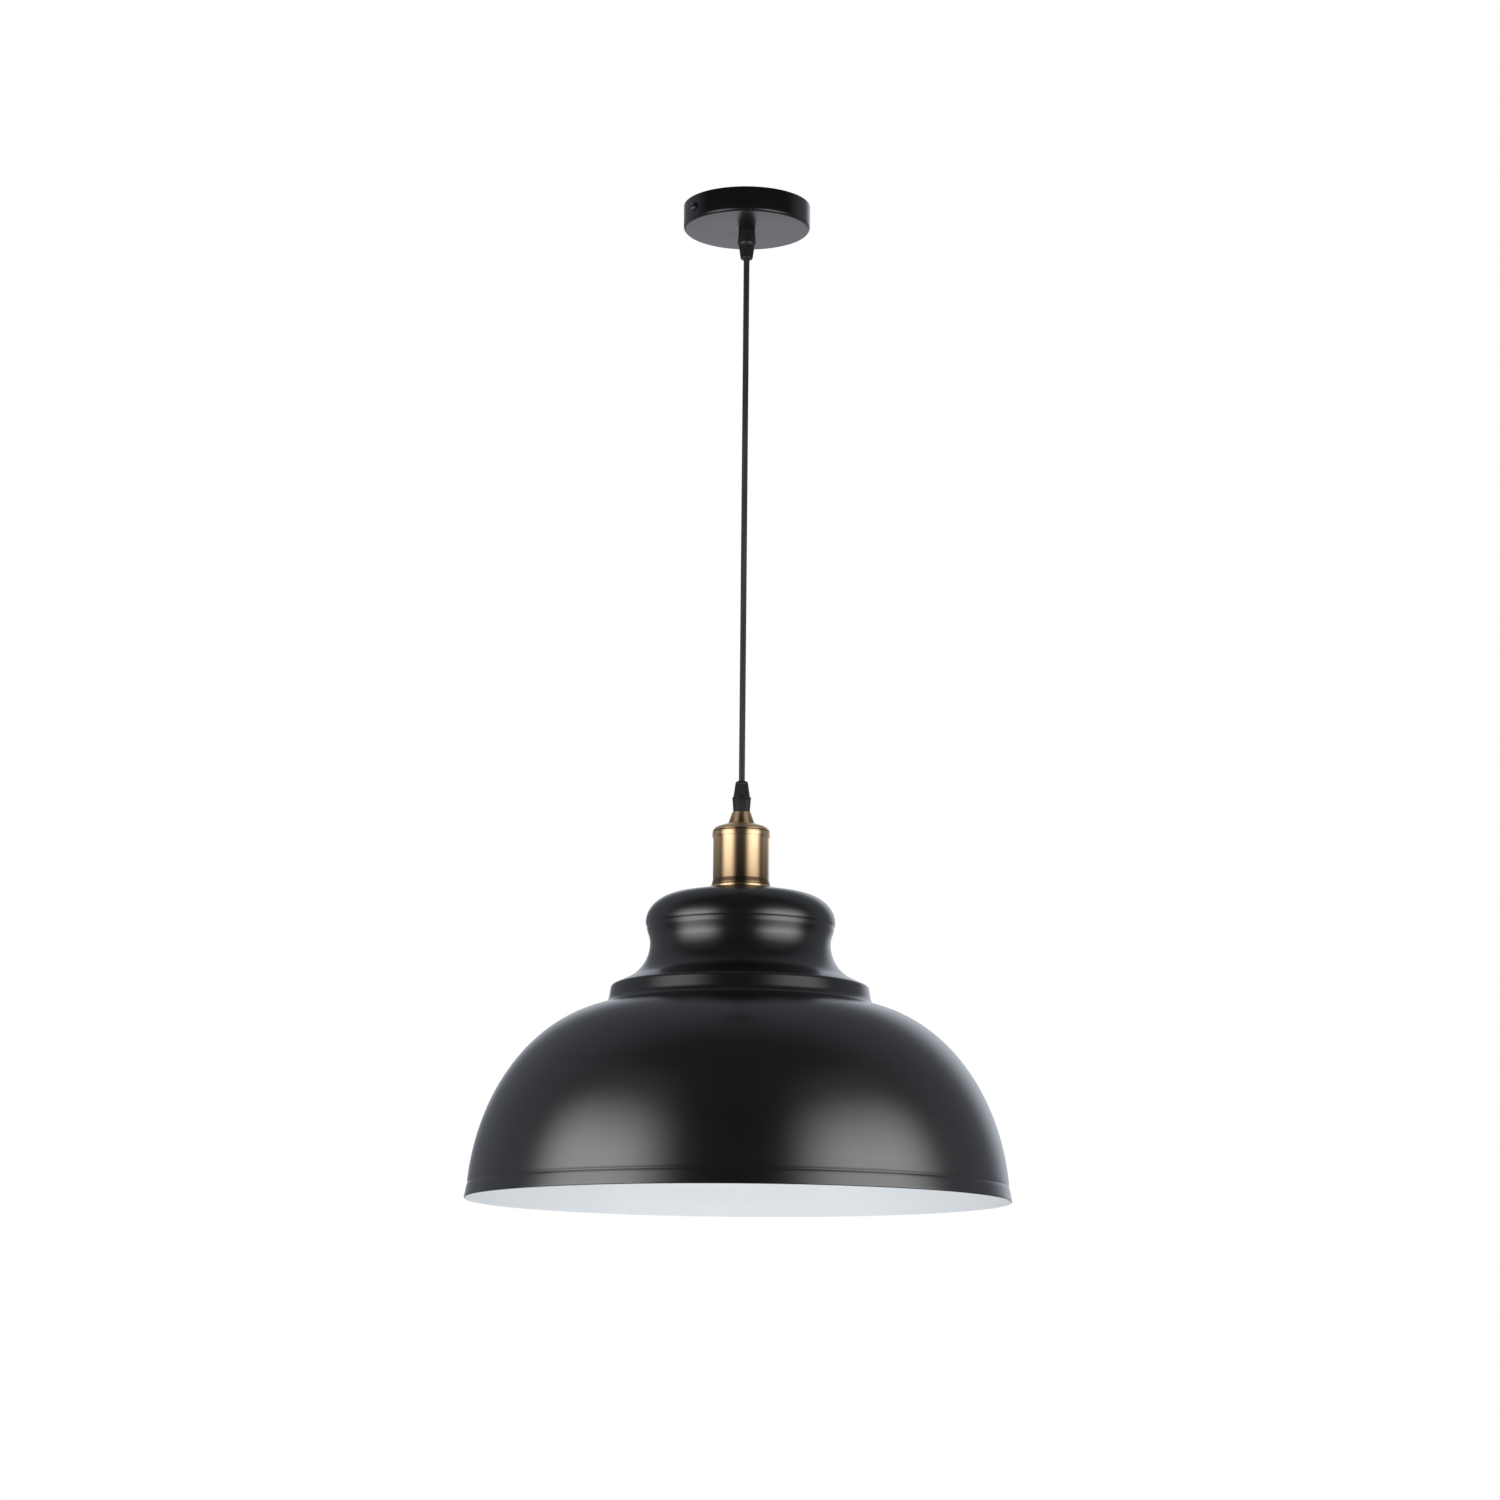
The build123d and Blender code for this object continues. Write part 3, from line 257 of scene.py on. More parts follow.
def antique_brass():
    """Turned brass, browned and lacquered: fine rings draw each highlight out along the axis, a cloudy
    tone lies over them, and a dark brown of painted shade and browning lies in grooves and on the flare.

    Real tool rings, about 0.1 mm apart, wouldn't show, so they are drawn coarser.
    """
    ring_length = 30.0
    ring_width = 0.5
    cloud_width = 12.0
    ring_depth = 0.02
    material, tree, surface, place = new_material("turned_antique_brass")
    ring_scale = (per_mm(ring_length), per_mm(ring_length), per_mm(ring_width))
    stretched = node(tree, "Mapping", {"Vector": place, "Scale": ring_scale})
    rings = node(tree, "TexNoise", {"Vector": stretched.outputs["Vector"], "Scale": 1.0, "Detail": 2.0})
    cloud = node(tree, "TexNoise", {"Vector": place, "Scale": per_mm(cloud_width), "Detail": 3.0})
    browning_and_shade = node(tree, "Attribute", attribute_name="patina_and_shade")
    tone = node(
        tree,
        "Mix",
        {0: rings.outputs["Fac"], 6: linear("#e6c196"), 7: linear("#fee4be")},
        data_type="RGBA",
    )
    browned = node(
        tree,
        "Mix",
        {0: cloud.outputs["Fac"], 6: tone.outputs[2], 7: linear("#eec99c")},
        data_type="RGBA",
    )
    # Dark brown laid by the piece's marks: painted shade in grooves, the pressed line and the flare, with some
    # browning.
    browned_and_shaded = node(
        tree,
        "Mix",
        {0: browning_and_shade.outputs["Fac"], 6: browned.outputs[2], 7: linear("#3a2618")},
        data_type="RGBA",
    )
    sheen = node(
        tree, "MapRange", {"Value": rings.outputs["Fac"], "To Min": 0.345, "To Max": 0.315}
    )
    bump = node(
        tree, "Bump", {"Height": rings.outputs["Fac"], "Strength": 0.1, "Distance": ring_depth * MM}
    )
    tree.links.new(browned_and_shaded.outputs[2], surface.inputs["Base Color"])
    tree.links.new(sheen.outputs["Result"], surface.inputs["Roughness"])
    tree.links.new(bump.outputs["Normal"], surface.inputs["Normal"])
    around = node(tree, "VectorMath", {0: (0.0, 0.0, 1.0), 1: place}, operation="CROSS_PRODUCT")
    tree.links.new(around.outputs["Vector"], surface.inputs["Tangent"])
    surface.inputs["Metallic"].default_value = 1.0
    surface.inputs["Anisotropic"].default_value = 0.9
    surface.inputs["Anisotropic Rotation"].default_value = 0.25
    return material


def glazed_porcelain():
    """Fired porcelain under a clear glaze: nearly white, with faint specks, and a sharp wet gloss that
    wavers a little.
    """
    speck_width = 0.6
    wave_width = 5.0
    wave_depth = 0.05
    material, tree, surface, place = new_material("glazed_porcelain")
    specks = node(tree, "TexNoise", {"Vector": place, "Scale": per_mm(speck_width), "Detail": 4.0})
    colour = node(
        tree,
        "Mix",
        {0: specks.outputs["Fac"], 6: linear("#e4e0d6"), 7: linear("#f4f2ec")},
        data_type="RGBA",
    )
    waves = node(tree, "TexNoise", {"Vector": place, "Scale": per_mm(wave_width)})
    bump = node(
        tree, "Bump", {"Height": waves.outputs["Fac"], "Strength": 0.3, "Distance": wave_depth * MM}
    )
    tree.links.new(colour.outputs[2], surface.inputs["Base Color"])
    tree.links.new(bump.outputs["Normal"], surface.inputs["Normal"])
    surface.inputs["Roughness"].default_value = 0.35
    surface.inputs["Coat Weight"].default_value = 1.0
    surface.inputs["Coat Roughness"].default_value = 0.06
    return material


def earth_insulation():
    """Extruded PVC in two colours that meet at X = 0: half of the core is green and half is yellow.

    Its grain is drawn coarser than the real one, so that it shows.
    """
    blur = 0.02
    grain_width = 0.3
    grain_depth = 0.02
    material, tree, surface, place = new_material("green_yellow_pvc")
    side = node(tree, "SeparateXYZ", {"Vector": place})
    stripe = node(
        tree, "MapRange", {"Value": side.outputs["X"], "From Min": -blur * MM, "From Max": blur * MM}
    )
    colour = node(
        tree,
        "Mix",
        {0: stripe.outputs["Result"], 6: linear("#3f8f2c"), 7: linear("#e2c52f")},
        data_type="RGBA",
    )
    grain = node(tree, "TexNoise", {"Vector": place, "Scale": per_mm(grain_width)})
    bump = node(
        tree, "Bump", {"Height": grain.outputs["Fac"], "Strength": 0.3, "Distance": grain_depth * MM}
    )
    tree.links.new(colour.outputs[2], surface.inputs["Base Color"])
    tree.links.new(bump.outputs["Normal"], surface.inputs["Normal"])
    surface.inputs["Roughness"].default_value = 0.4
    return material


# Meshes

SHARP_ANGLE = 38.0


def surface_of(name, grid, closed=True):
    """Quads over a grid of points, rows by columns.

    Columns close round. Rows close too, or end in flat caps.
    """
    rows, columns = grid.shape[:2]
    index = np.arange(rows * columns).reshape(rows, columns)
    lower = index if closed else index[:-1]
    upper = np.roll(index, -1, axis=0) if closed else index[1:]
    quads = np.stack([lower, np.roll(lower, -1, 1), np.roll(upper, -1, 1), upper], axis=-1)
    faces = quads.reshape(-1, 4).tolist()
    if not closed:
        faces += [index[0, ::-1].tolist(), index[-1].tolist()]
    mesh = bpy.data.meshes.new(name)
    mesh.from_pydata((grid.reshape(-1, 3) * MM).tolist(), [], faces)
    mesh.polygons.foreach_set("use_smooth", np.ones(len(faces), bool))
    mesh.set_sharp_from_angle(angle=np.radians(SHARP_ANGLE))
    piece = bpy.data.objects.new(name, mesh)
    bpy.context.scene.collection.objects.link(piece)
    return piece


def turned(name, outline, columns=192, shape=None, closed=True):
    """An outline of (radius, height), its outer side running upwards, carried round the Z axis.

    x = r cos a, y = r sin a, z = h; shape(r, h, a), where given, makes r depend on the angle a.
    """
    angle = np.linspace(0, 2 * np.pi, columns, endpoint=False)
    radius = np.repeat(outline[:, :1], columns, axis=1)
    height = np.repeat(outline[:, 1:], columns, axis=1)
    if shape is not None:
        radius = shape(radius, height, angle[None, :])
    grid = np.stack([radius * np.cos(angle), radius * np.sin(angle), height], axis=-1)
    return surface_of(name, grid, closed)


def arc(centre, radii, start, end, steps, crowd=1.0):
    """Points on part of an ellipse, angles in degrees; crowd above 1 packs them towards the start."""
    angle = np.radians(start + (end - start) * np.linspace(0, 1, steps) ** crowd)
    return np.stack([centre[0] + radii[0] * np.cos(angle), centre[1] + radii[1] * np.sin(angle)], axis=1)


def line(start, end, steps, crowd=1.0):
    """Points on a straight stretch; crowd above 1 packs them towards the start."""
    share = np.linspace(0, 1, steps)[:, None] ** crowd
    return np.array(start) * (1 - share) + np.array(end) * share


def rounded(corners, steps=5):
    """Closed outline through (radius, height, rounding) corners, a tangent arc in place of each.

    An arc is swept from its first to its last point about its centre; a rounding of 0 keeps the corner.
    """
    points = np.array(corners, float)
    stretches = []
    for before, corner, after in zip(np.roll(points, 1, 0), points, np.roll(points, -1, 0)):
        place, rounding = corner[:2], corner[2]
        if rounding == 0:
            stretches.append(place[None])
            continue
        back = (before[:2] - place) / np.linalg.norm(before[:2] - place)
        ahead = (after[:2] - place) / np.linalg.norm(after[:2] - place)
        half = np.arccos(np.clip(back @ ahead, -1, 1)) / 2
        centre = place + (back + ahead) / np.linalg.norm(back + ahead) * rounding / np.sin(half)
        first = place + back * rounding / np.tan(half) - centre
        last = place + ahead * rounding / np.tan(half) - centre
        turn = np.pi - 2 * half
        share = np.linspace(0, 1, steps)[:, None]
        stretches.append(
            centre + (np.sin((1 - share) * turn) * first + np.sin(share * turn) * last) / np.sin(turn)
        )
    return np.vstack(stretches)


def grooved(outline, *grooves):
    """Outline with shallow grooves pressed in along its normal.

    Each groove is (radius, height, depth, half width): depth times exp(-(distance / half width) squared).
    """
    run = np.gradient(outline, axis=0)
    run /= np.linalg.norm(run, axis=1, keepdims=True)
    outward = np.stack([run[:, 1], -run[:, 0]], axis=1)
    pressed = np.zeros(len(outline))
    for radius, height, depth, half_width in grooves:
        distance = np.hypot(outline[:, 0] - radius, outline[:, 1] - height)
        pressed += depth * np.exp(-((distance / half_width) ** 2))
    return outline - outward * pressed[:, None]


def dress(piece, body, slot, replaced, *materials):
    """Gives a piece its materials and the body that it rides on, and hides the node that it replaces. The slot is
    not used.
    """
    for material in materials:
        piece.data.materials.append(material)
    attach(piece, body)
    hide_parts(replaced)


# Finishes

# Powder coat baked on spun steel: near black, with a soft satin gloss and the faintest peel.
SATIN_BLACK = paint(
    "satin_black_powder_coat",
    "#0a0a0b",
    "#0d0d0e",
    roughness=0.25,
    peel_width=1.2,
    peel_depth=0.01,
    patch_width=60,
    index=1.69,
)
# Enamel baked on the inside: a cool white, duller than the black, that spreads light evenly.
WHITE_ENAMEL = paint(
    "white_baked_enamel",
    "#e3e7ea",
    "#eceff1",
    roughness=0.38,
    peel_width=1.5,
    peel_depth=0.02,
    patch_width=60,
    index=1.5,
)
# Nylon moulded in a spark-eroded tool: charcoal black, with a fine grain and a low sheen.
BLACK_NYLON = moulding(
    "moulded_black_nylon", "#1a1a1c", "#222224", roughness=0.4, grain=0.35, depth=0.02
)
# PVC sheath drawn through a die: fine paler and darker lines run along the black cord.
CORD_SHEATH = extrusion(
    "extruded_black_pvc_sheath", "#222223", "#3a3a3b", roughness=0.45, line_width=1.1, line_length=60.0
)
# Undyed moulded nylon: a milky cream with a low sheen.
NATURAL_NYLON = moulding(
    "moulded_natural_nylon", "#dcd7c8", "#ebe7db", roughness=0.4, grain=0.5, depth=0.02
)
# Phenolic resin pressed in a polished tool: a warm brown black, glossier than the nylon.
BLACK_PHENOLIC = moulding(
    "moulded_black_phenolic", "#12100f", "#1d1a18", roughness=0.28, grain=0.3, depth=0.01, gloss=0.6
)
# PVC drawn over a core: an even brown or blue with a waxy sheen.
BROWN_PVC = moulding("brown_pvc_insulation", "#4a2a17", "#5a3520", roughness=0.4, grain=0.3, depth=0.02)
BLUE_PVC = moulding("blue_pvc_insulation", "#1d4f9a", "#2a62b4", roughness=0.4, grain=0.3, depth=0.02)
# Bright zinc on rolled strip: a cool grey with faint rolling streaks along X.
ZINC_STEEL = metal(
    "zinc_plated_steel", "#9fa4a8", "#c9ccce", roughness=0.34, streaks=(6, 1.2, 1.2), depth=0.01
)
# Oxide-blackened steel: a dark grey metal with an oily gloss.
BLACK_OXIDE = metal(
    "black_oxide_steel", "#6c6c6f", "#86868a", roughness=0.36, streaks=(0.6, 0.6, 0.6), depth=0.01
)
# Pressed brass sheet: a clear yellow with fine draw marks round the axis.
PRESSED_BRASS = metal(
    "pressed_brass", "#b08d45", "#d9ba72", roughness=0.26, streaks=(3, 3, 0.5), depth=0.01
)
# Bare stranded copper: a reddish metal whose strands, at their own 0.2 mm, break up the gloss.
BARE_COPPER = metal(
    "stranded_copper", "#a85a38", "#d98a62", roughness=0.3, streaks=(0.2, 0.2, 0.2), depth=0.04
)
ANTIQUE_BRASS = antique_brass()
PORCELAIN = glazed_porcelain()
EARTH_PVC = earth_insulation()

SLOT_FINISH = {
    "satin_black_paint": SATIN_BLACK,
    "black_nylon": BLACK_NYLON,
    "cord_sheath": CORD_SHEATH,
    "antique_brass": ANTIQUE_BRASS,
    "zinc_steel": ZINC_STEEL,
    "black_screw": BLACK_OXIDE,
    "contact_brass": PRESSED_BRASS,
    "copper": BARE_COPPER,
    "terminal_nylon": NATURAL_NYLON,
    "porcelain": PORCELAIN,
    "phenolic": BLACK_PHENOLIC,
    "live_insulation": BROWN_PVC,
    "neutral_insulation": BLUE_PVC,
    "earth_insulation": EARTH_PVC,
}

# Every solid takes the finish of its slot. The pieces made below replace some of them.
for subpart in frame["record"]["subparts"]:
    solid = frame["nodes"][subpart["node"]]
    solid.data.materials.clear()
    solid.data.materials.append(SLOT_FINISH[subpart["material_slot"]])


# Cord, in millimetres as all pieces below

CORD_DIAMETER = 4.5
STRAIGHT_LEAD = 6 * CORD_DIAMETER
ROUTE_STEPS = 120
FLEX_REACH = 11.0
upper_exit = node_box("upper_grip_nut")[0][2]
lower_exit = node_box("lower_grip_nut")[1][2]
upper_pivot = pivot_level("swing_front")
lower_pivot = pivot_level("pendant_tilt")


def cord_route():
    """Points along the cord's own line, read from a NURBS spline through the route, in millimetres."""
    route = [upper_exit, upper_exit - STRAIGHT_LEAD, lower_exit + STRAIGHT_LEAD, lower_exit]
    data = bpy.data.curves.new("cord_route", "CURVE")
    data.dimensions = "3D"
    data.resolution_u = ROUTE_STEPS
    spline = data.splines.new("NURBS")
    spline.points.add(len(route) - 1)
    for point, level in zip(spline.points, route):
        point.co = (0.0, 0.0, level * MM, 1.0)
    spline.order_u = 3
    spline.use_endpoint_u = True
    guide = bpy.data.objects.new("cord_route", data)
    bpy.context.scene.collection.objects.link(guide)
    bpy.context.view_layer.update()
    read = bpy.data.meshes.new_from_object(guide)
    points = np.array([vertex.co for vertex in read.vertices]) / MM
    bpy.data.objects.remove(guide)
    bpy.data.meshes.remove(read)
    return points


def cord_stretch(name, points, columns=32):
    """A circle of the cord's size carried along points: p + r (n cos a + b sin a), with flat ends."""
    run = np.gradient(points, axis=0)
    run /= np.linalg.norm(run, axis=1, keepdims=True)
    side = np.cross(np.array([0.0, 1.0, 0.0]), run)
    side /= np.linalg.norm(side, axis=1, keepdims=True)
    across = np.cross(run, side)
    angle = np.linspace(0, 2 * np.pi, columns, endpoint=False)[None, :, None]
    ring = np.cos(angle) * side[:, None] + np.sin(angle) * across[:, None]
    return surface_of(name, points[:, None] + CORD_DIAMETER / 2 * ring, closed=False)


def add_cord():
    """Three lengths of one cord, cut a little way from the grips: a short one at each grip and the long run
    between.
    """
    points = cord_route()
    levels = points[:, 2]
    top_cut = int(np.argmin(np.abs(levels - (upper_pivot - FLEX_REACH))))
    bottom_cut = int(np.argmin(np.abs(levels - (lower_pivot + FLEX_REACH))))
    top = cord_stretch("cord_top", points[: top_cut + 1])
    run = cord_stretch("cord_run_long", points[top_cut : bottom_cut + 1])
    bottom = cord_stretch("cord_bottom", points[bottom_cut:])
    for piece, solid in ((top, "cord_top_bend"), (run, "cord_run"), (bottom, "cord_bottom_bend")):
        piece.data.materials.append(CORD_SHEATH)
        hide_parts(solid)
    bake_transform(top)
    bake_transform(run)
    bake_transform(bottom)


# Canopy

CANOPY_WALL = 1.0
CANOPY_EDGE = 2.5
CANOPY_BRIM_EDGE = 0.3
CANOPY_HOLE_EDGE = 0.2
STUB_HOLE = 5.3


def add_canopy():
    """Shallow drum, open at the top: a wall and a floor turned as one, with a rounded lower edge."""
    low, high = node_box("canopy")
    radius, brim = high[0], high[2]
    bottom = low[2]
    outline = rounded(
        [
            (STUB_HOLE, bottom + CANOPY_WALL, CANOPY_HOLE_EDGE),
            (STUB_HOLE, bottom, CANOPY_HOLE_EDGE),
            (radius, bottom, CANOPY_EDGE),
            (radius, brim, CANOPY_BRIM_EDGE),
            (radius - CANOPY_WALL, brim, CANOPY_BRIM_EDGE),
            (radius - CANOPY_WALL, bottom + CANOPY_WALL, CANOPY_EDGE - CANOPY_WALL),
        ],
        steps=10,
    )
    piece = turned("canopy_drum", outline, columns=240)
    dress(piece, "ceiling_mount", "satin_black_paint", "canopy", SATIN_BLACK)


# Cord grips

GRIP_BODY_LENGTH = 9.8
GRIP_SEAT_HALF_FLATS = 5.4
GRIP_SEAT_EDGE = 0.15
GRIP_HIP_HALF_FLATS = 6.05
GRIP_HIP_EDGE = 0.3
GRIP_TURN = 30.0
GRIP_STUB_RADIUS = 5.0
GRIP_STUB_PLAIN = 0.5
GRIP_BORE_RADIUS = 2.33
GRIP_SPIGOT_RADIUS = 4.2
GRIP_SPIGOT_LENGTH = 6.0
GRIP_COLLET_LENGTH = 5.0
GRIP_COLLET_TIP = 3.1
GRIP_NUT_LENGTH = 13.7
GRIP_GAP = 0.3
GRIP_FIT = 0.08
GRIP_RING_RADIUS = 7.2
GRIP_RING_LOWER_EDGE = 0.2
GRIP_RING_WALL_TOP = 0.8
GRIP_RING_UPPER_EDGE = 0.3
GRIP_RING_HEIGHT = 2.4
GRIP_RIB_BASE = 6.1
GRIP_RIB_COVE = 0.4
GRIP_RIB_SETBACK = 0.2
GRIP_RIB_TIP = 4.8
GRIP_TIP_RADIUS = 3.1
GRIP_TIP_HEIGHT = 1.9
GRIP_RIBS = 20
GRIP_GROOVE_DEPTH = 0.49
GRIP_GROOVE_FADE = 0.6
GRIP_GROOVE_END = 0.2
THREAD_PITCH = 1.0
THREAD_DEPTH = 0.25
THREAD_ROWS = 8
HEXAGON_POWER = 60
ROW_GAP = 0.01
SKIN = 0.05


def hexagon(angle, turn):
    """Radius of a hexagon over its half flats: the reciprocal of a smooth largest |cos| of three axes."""
    axes = np.radians(np.array([30.0, 90.0, 150.0]) + turn)[:, None, None]
    flats = np.abs(np.cos(angle[None] - axes)) ** HEXAGON_POWER
    return flats.sum(axis=0) ** (-1 / HEXAGON_POWER)


def add_grip(prefix, body, nut_body, seat, facing, stub_length):
    """Hexagonal tapered body with a threaded stub and collet, and the ribbed nut that clamps the cord.

    Heights run from the seat along facing: 1 for a grip that points up, -1 for one that hangs.
    """
    hip = GRIP_BODY_LENGTH
    spigot_end = hip + GRIP_SPIGOT_LENGTH
    collet_end = spigot_end + GRIP_COLLET_LENGTH

    def hexagon_and_thread(radius, height, angle):
        """r times the hexagon's radius on the flats, and r less a helical cosine on the stub."""
        along = (height - seat) * facing
        on_stub = (radius > GRIP_STUB_RADIUS - THREAD_DEPTH) & (along < -GRIP_STUB_PLAIN)
        on_flats = radius > (GRIP_STUB_RADIUS + GRIP_SEAT_HALF_FLATS) / 2
        thread = THREAD_DEPTH / 2 * (np.cos(2 * np.pi * along / THREAD_PITCH - angle) - 1)
        flats = radius * hexagon(angle, GRIP_TURN * facing)
        return np.where(on_flats, flats, radius + on_stub * thread)

    stub_rows = int(stub_length / THREAD_PITCH * THREAD_ROWS)
    stub = line((GRIP_STUB_RADIUS, -stub_length), (GRIP_STUB_RADIUS, -ROW_GAP), stub_rows)
    flats_and_spigot = rounded(
        [
            (GRIP_STUB_RADIUS, 0, 0),
            (GRIP_SEAT_HALF_FLATS, 0, GRIP_SEAT_EDGE),
            (GRIP_HIP_HALF_FLATS, hip, GRIP_HIP_EDGE),
            (GRIP_SPIGOT_RADIUS, hip, 0),
            (GRIP_SPIGOT_RADIUS, spigot_end, 0),
        ]
    )[1:]
    outline = np.vstack(
        [
            [(GRIP_BORE_RADIUS, -stub_length)],
            stub,
            flats_and_spigot,
            [(GRIP_SPIGOT_RADIUS - GRIP_GAP, spigot_end)],
            [(GRIP_COLLET_TIP, collet_end)],
            [(GRIP_BORE_RADIUS, collet_end)],
        ]
    )
    outline[:, 1] = seat + facing * outline[:, 1]
    piece = turned(prefix + "_grip_hexagon", outline[::facing], columns=144, shape=hexagon_and_thread)
    dress(piece, body, "black_nylon", prefix + "_grip_body", BLACK_NYLON)

    rib_start = GRIP_RING_HEIGHT
    rib_end = GRIP_NUT_LENGTH - GRIP_TIP_HEIGHT
    bore = GRIP_SPIGOT_RADIUS + GRIP_FIT
    exit_radius = CORD_DIAMETER / 2 + GRIP_GAP
    throat = GRIP_SPIGOT_LENGTH + GRIP_GAP
    throat_end = throat + GRIP_COLLET_LENGTH
    fade_heights = (rib_start, rib_start + GRIP_GROOVE_FADE, rib_end - GRIP_GROOVE_FADE, rib_end)

    def ribs(radius, height, angle):
        """r less grooves of a squared cosine, on the outer skin alone, that fade at both ends."""
        along = (height - seat) * facing - hip
        outer = radius >= np.interp(along, (0, rib_end), (GRIP_RIB_BASE, GRIP_RIB_TIP)) - SKIN
        depth = GRIP_GROOVE_DEPTH * np.interp(along, fade_heights, (0, 1, 1, GRIP_GROOVE_END))
        scallop = (0.5 + 0.5 * np.cos(GRIP_RIBS * angle)) ** 2
        return radius - outer * depth * scallop

    ring = rounded(
        [
            (bore, GRIP_GAP, 0),
            (GRIP_RING_RADIUS, GRIP_GAP, GRIP_RING_LOWER_EDGE),
            (GRIP_RING_RADIUS, GRIP_RING_WALL_TOP, GRIP_RING_UPPER_EDGE),
            (GRIP_RIB_BASE, rib_start, GRIP_RIB_COVE),
            (GRIP_RIB_TIP, rib_end, 0),
        ]
    )[:-1]
    tip_size = (GRIP_RIB_TIP - GRIP_TIP_RADIUS, GRIP_TIP_HEIGHT)
    cap = np.vstack(
        [
            ring,
            line((GRIP_RIB_BASE, rib_start + GRIP_RIB_SETBACK), (GRIP_RIB_TIP, rib_end), 24),
            arc((GRIP_TIP_RADIUS, rib_end), tip_size, 0, 90, 8)[1:],
            [(exit_radius, GRIP_NUT_LENGTH)],
            [(exit_radius, throat_end)],
            [(GRIP_COLLET_TIP + GRIP_GAP, throat_end)],
            [(bore, throat)],
        ]
    )
    cap[:, 1] = seat + facing * (hip + cap[:, 1])
    piece = turned(prefix + "_grip_cap", cap[::facing], columns=12 * GRIP_RIBS, shape=ribs)
    dress(piece, nut_body, "black_nylon", prefix + "_grip_nut", BLACK_NYLON)


# Brass holder

CUP_WALL = 0.8
CUP_RADIUS = 20.9
CUP_SHOULDER_HEIGHT = 8.0
CUP_SHOULDER_FLAT = 9.6
CUP_SHOULDER_FLAT_EDGE = 0.5
CUP_SHOULDER_DROP = 4.1
CUP_SHOULDER_ROUND = 5.0
CUP_BAND_RADIUS = 21.6
CUP_BAND_HEIGHT = 4.0
CUP_BAND_ROLL = 2.2
CUP_BAND_FALL = 1.0
CUP_MOUTH_EDGE = 0.2
CUP_CORNER_EDGE = 0.1
CUP_FLANGE_FOOT = 0.5
CUP_FLANGE_TOP = 2.4
CUP_FLANGE_EDGE = 0.35
CUP_FLANGE_LIP = 0.6
CUP_FLARE_FOOT = 4.0
CUP_FLARE_FOOT_EDGE = 0.3
CUP_FLARE_TOP = 7.2
CUP_FLARE_BEND = 1.5
CUP_FLARE_REACH = 0.8
CUP_LIP = 0.8
CUP_LIP_EDGE = 0.15
CUP_GROOVE = 0.4
CUP_LINE_RISE = 1.4
CUP_LINE_INSET = 0.15
CUP_LINE_DEPTH = 0.2
CUP_LINE_HALF_WIDTH = 0.35
CONE_FOOT_EDGE = 0.3
CONE_TOP_EDGE = 0.5
CONE_TOP_RADIUS = 7.0
# How dark the brass is laid: painted shade in the groove, on the flare and in the pressed line, with some
# browning.
GROOVE_DARKENING = 0.9
LIP_DARKENING = 0.5
FLARE_PAINTED_SHADE = 0.97
LINE_DARKENING = 0.95
CONE_DARKENING = 0.8
DARKENING_HALF_WIDTH = 0.2
DARKENING_FADE = 0.6
GROOVE_DARKENING_FADE = 0.5
FLARE_PAINTED_SHADE_START = 0.5
FLARE_PAINTED_SHADE_END = 0.4
FLARE_PAINTED_SHADE_FADE = 1.0
CONE_DARKENING_START = 0.1
CONE_DARKENING_END = 1.2


def add_patina_and_shade(piece, marks):
    """Browning and painted shade laid on a turned piece, from 0 to 1, read off a line through (height, level)
    marks.
    """
    heights, levels = zip(*marks)
    mesh = piece.data
    place = np.empty(3 * len(mesh.vertices), np.float32)
    mesh.vertices.foreach_get("co", place)
    browning = np.interp(place.reshape(-1, 3)[:, 2] / MM, heights, levels).astype(np.float32)
    mesh.attributes.new("patina_and_shade", "FLOAT", "POINT").data.foreach_set("value", browning)


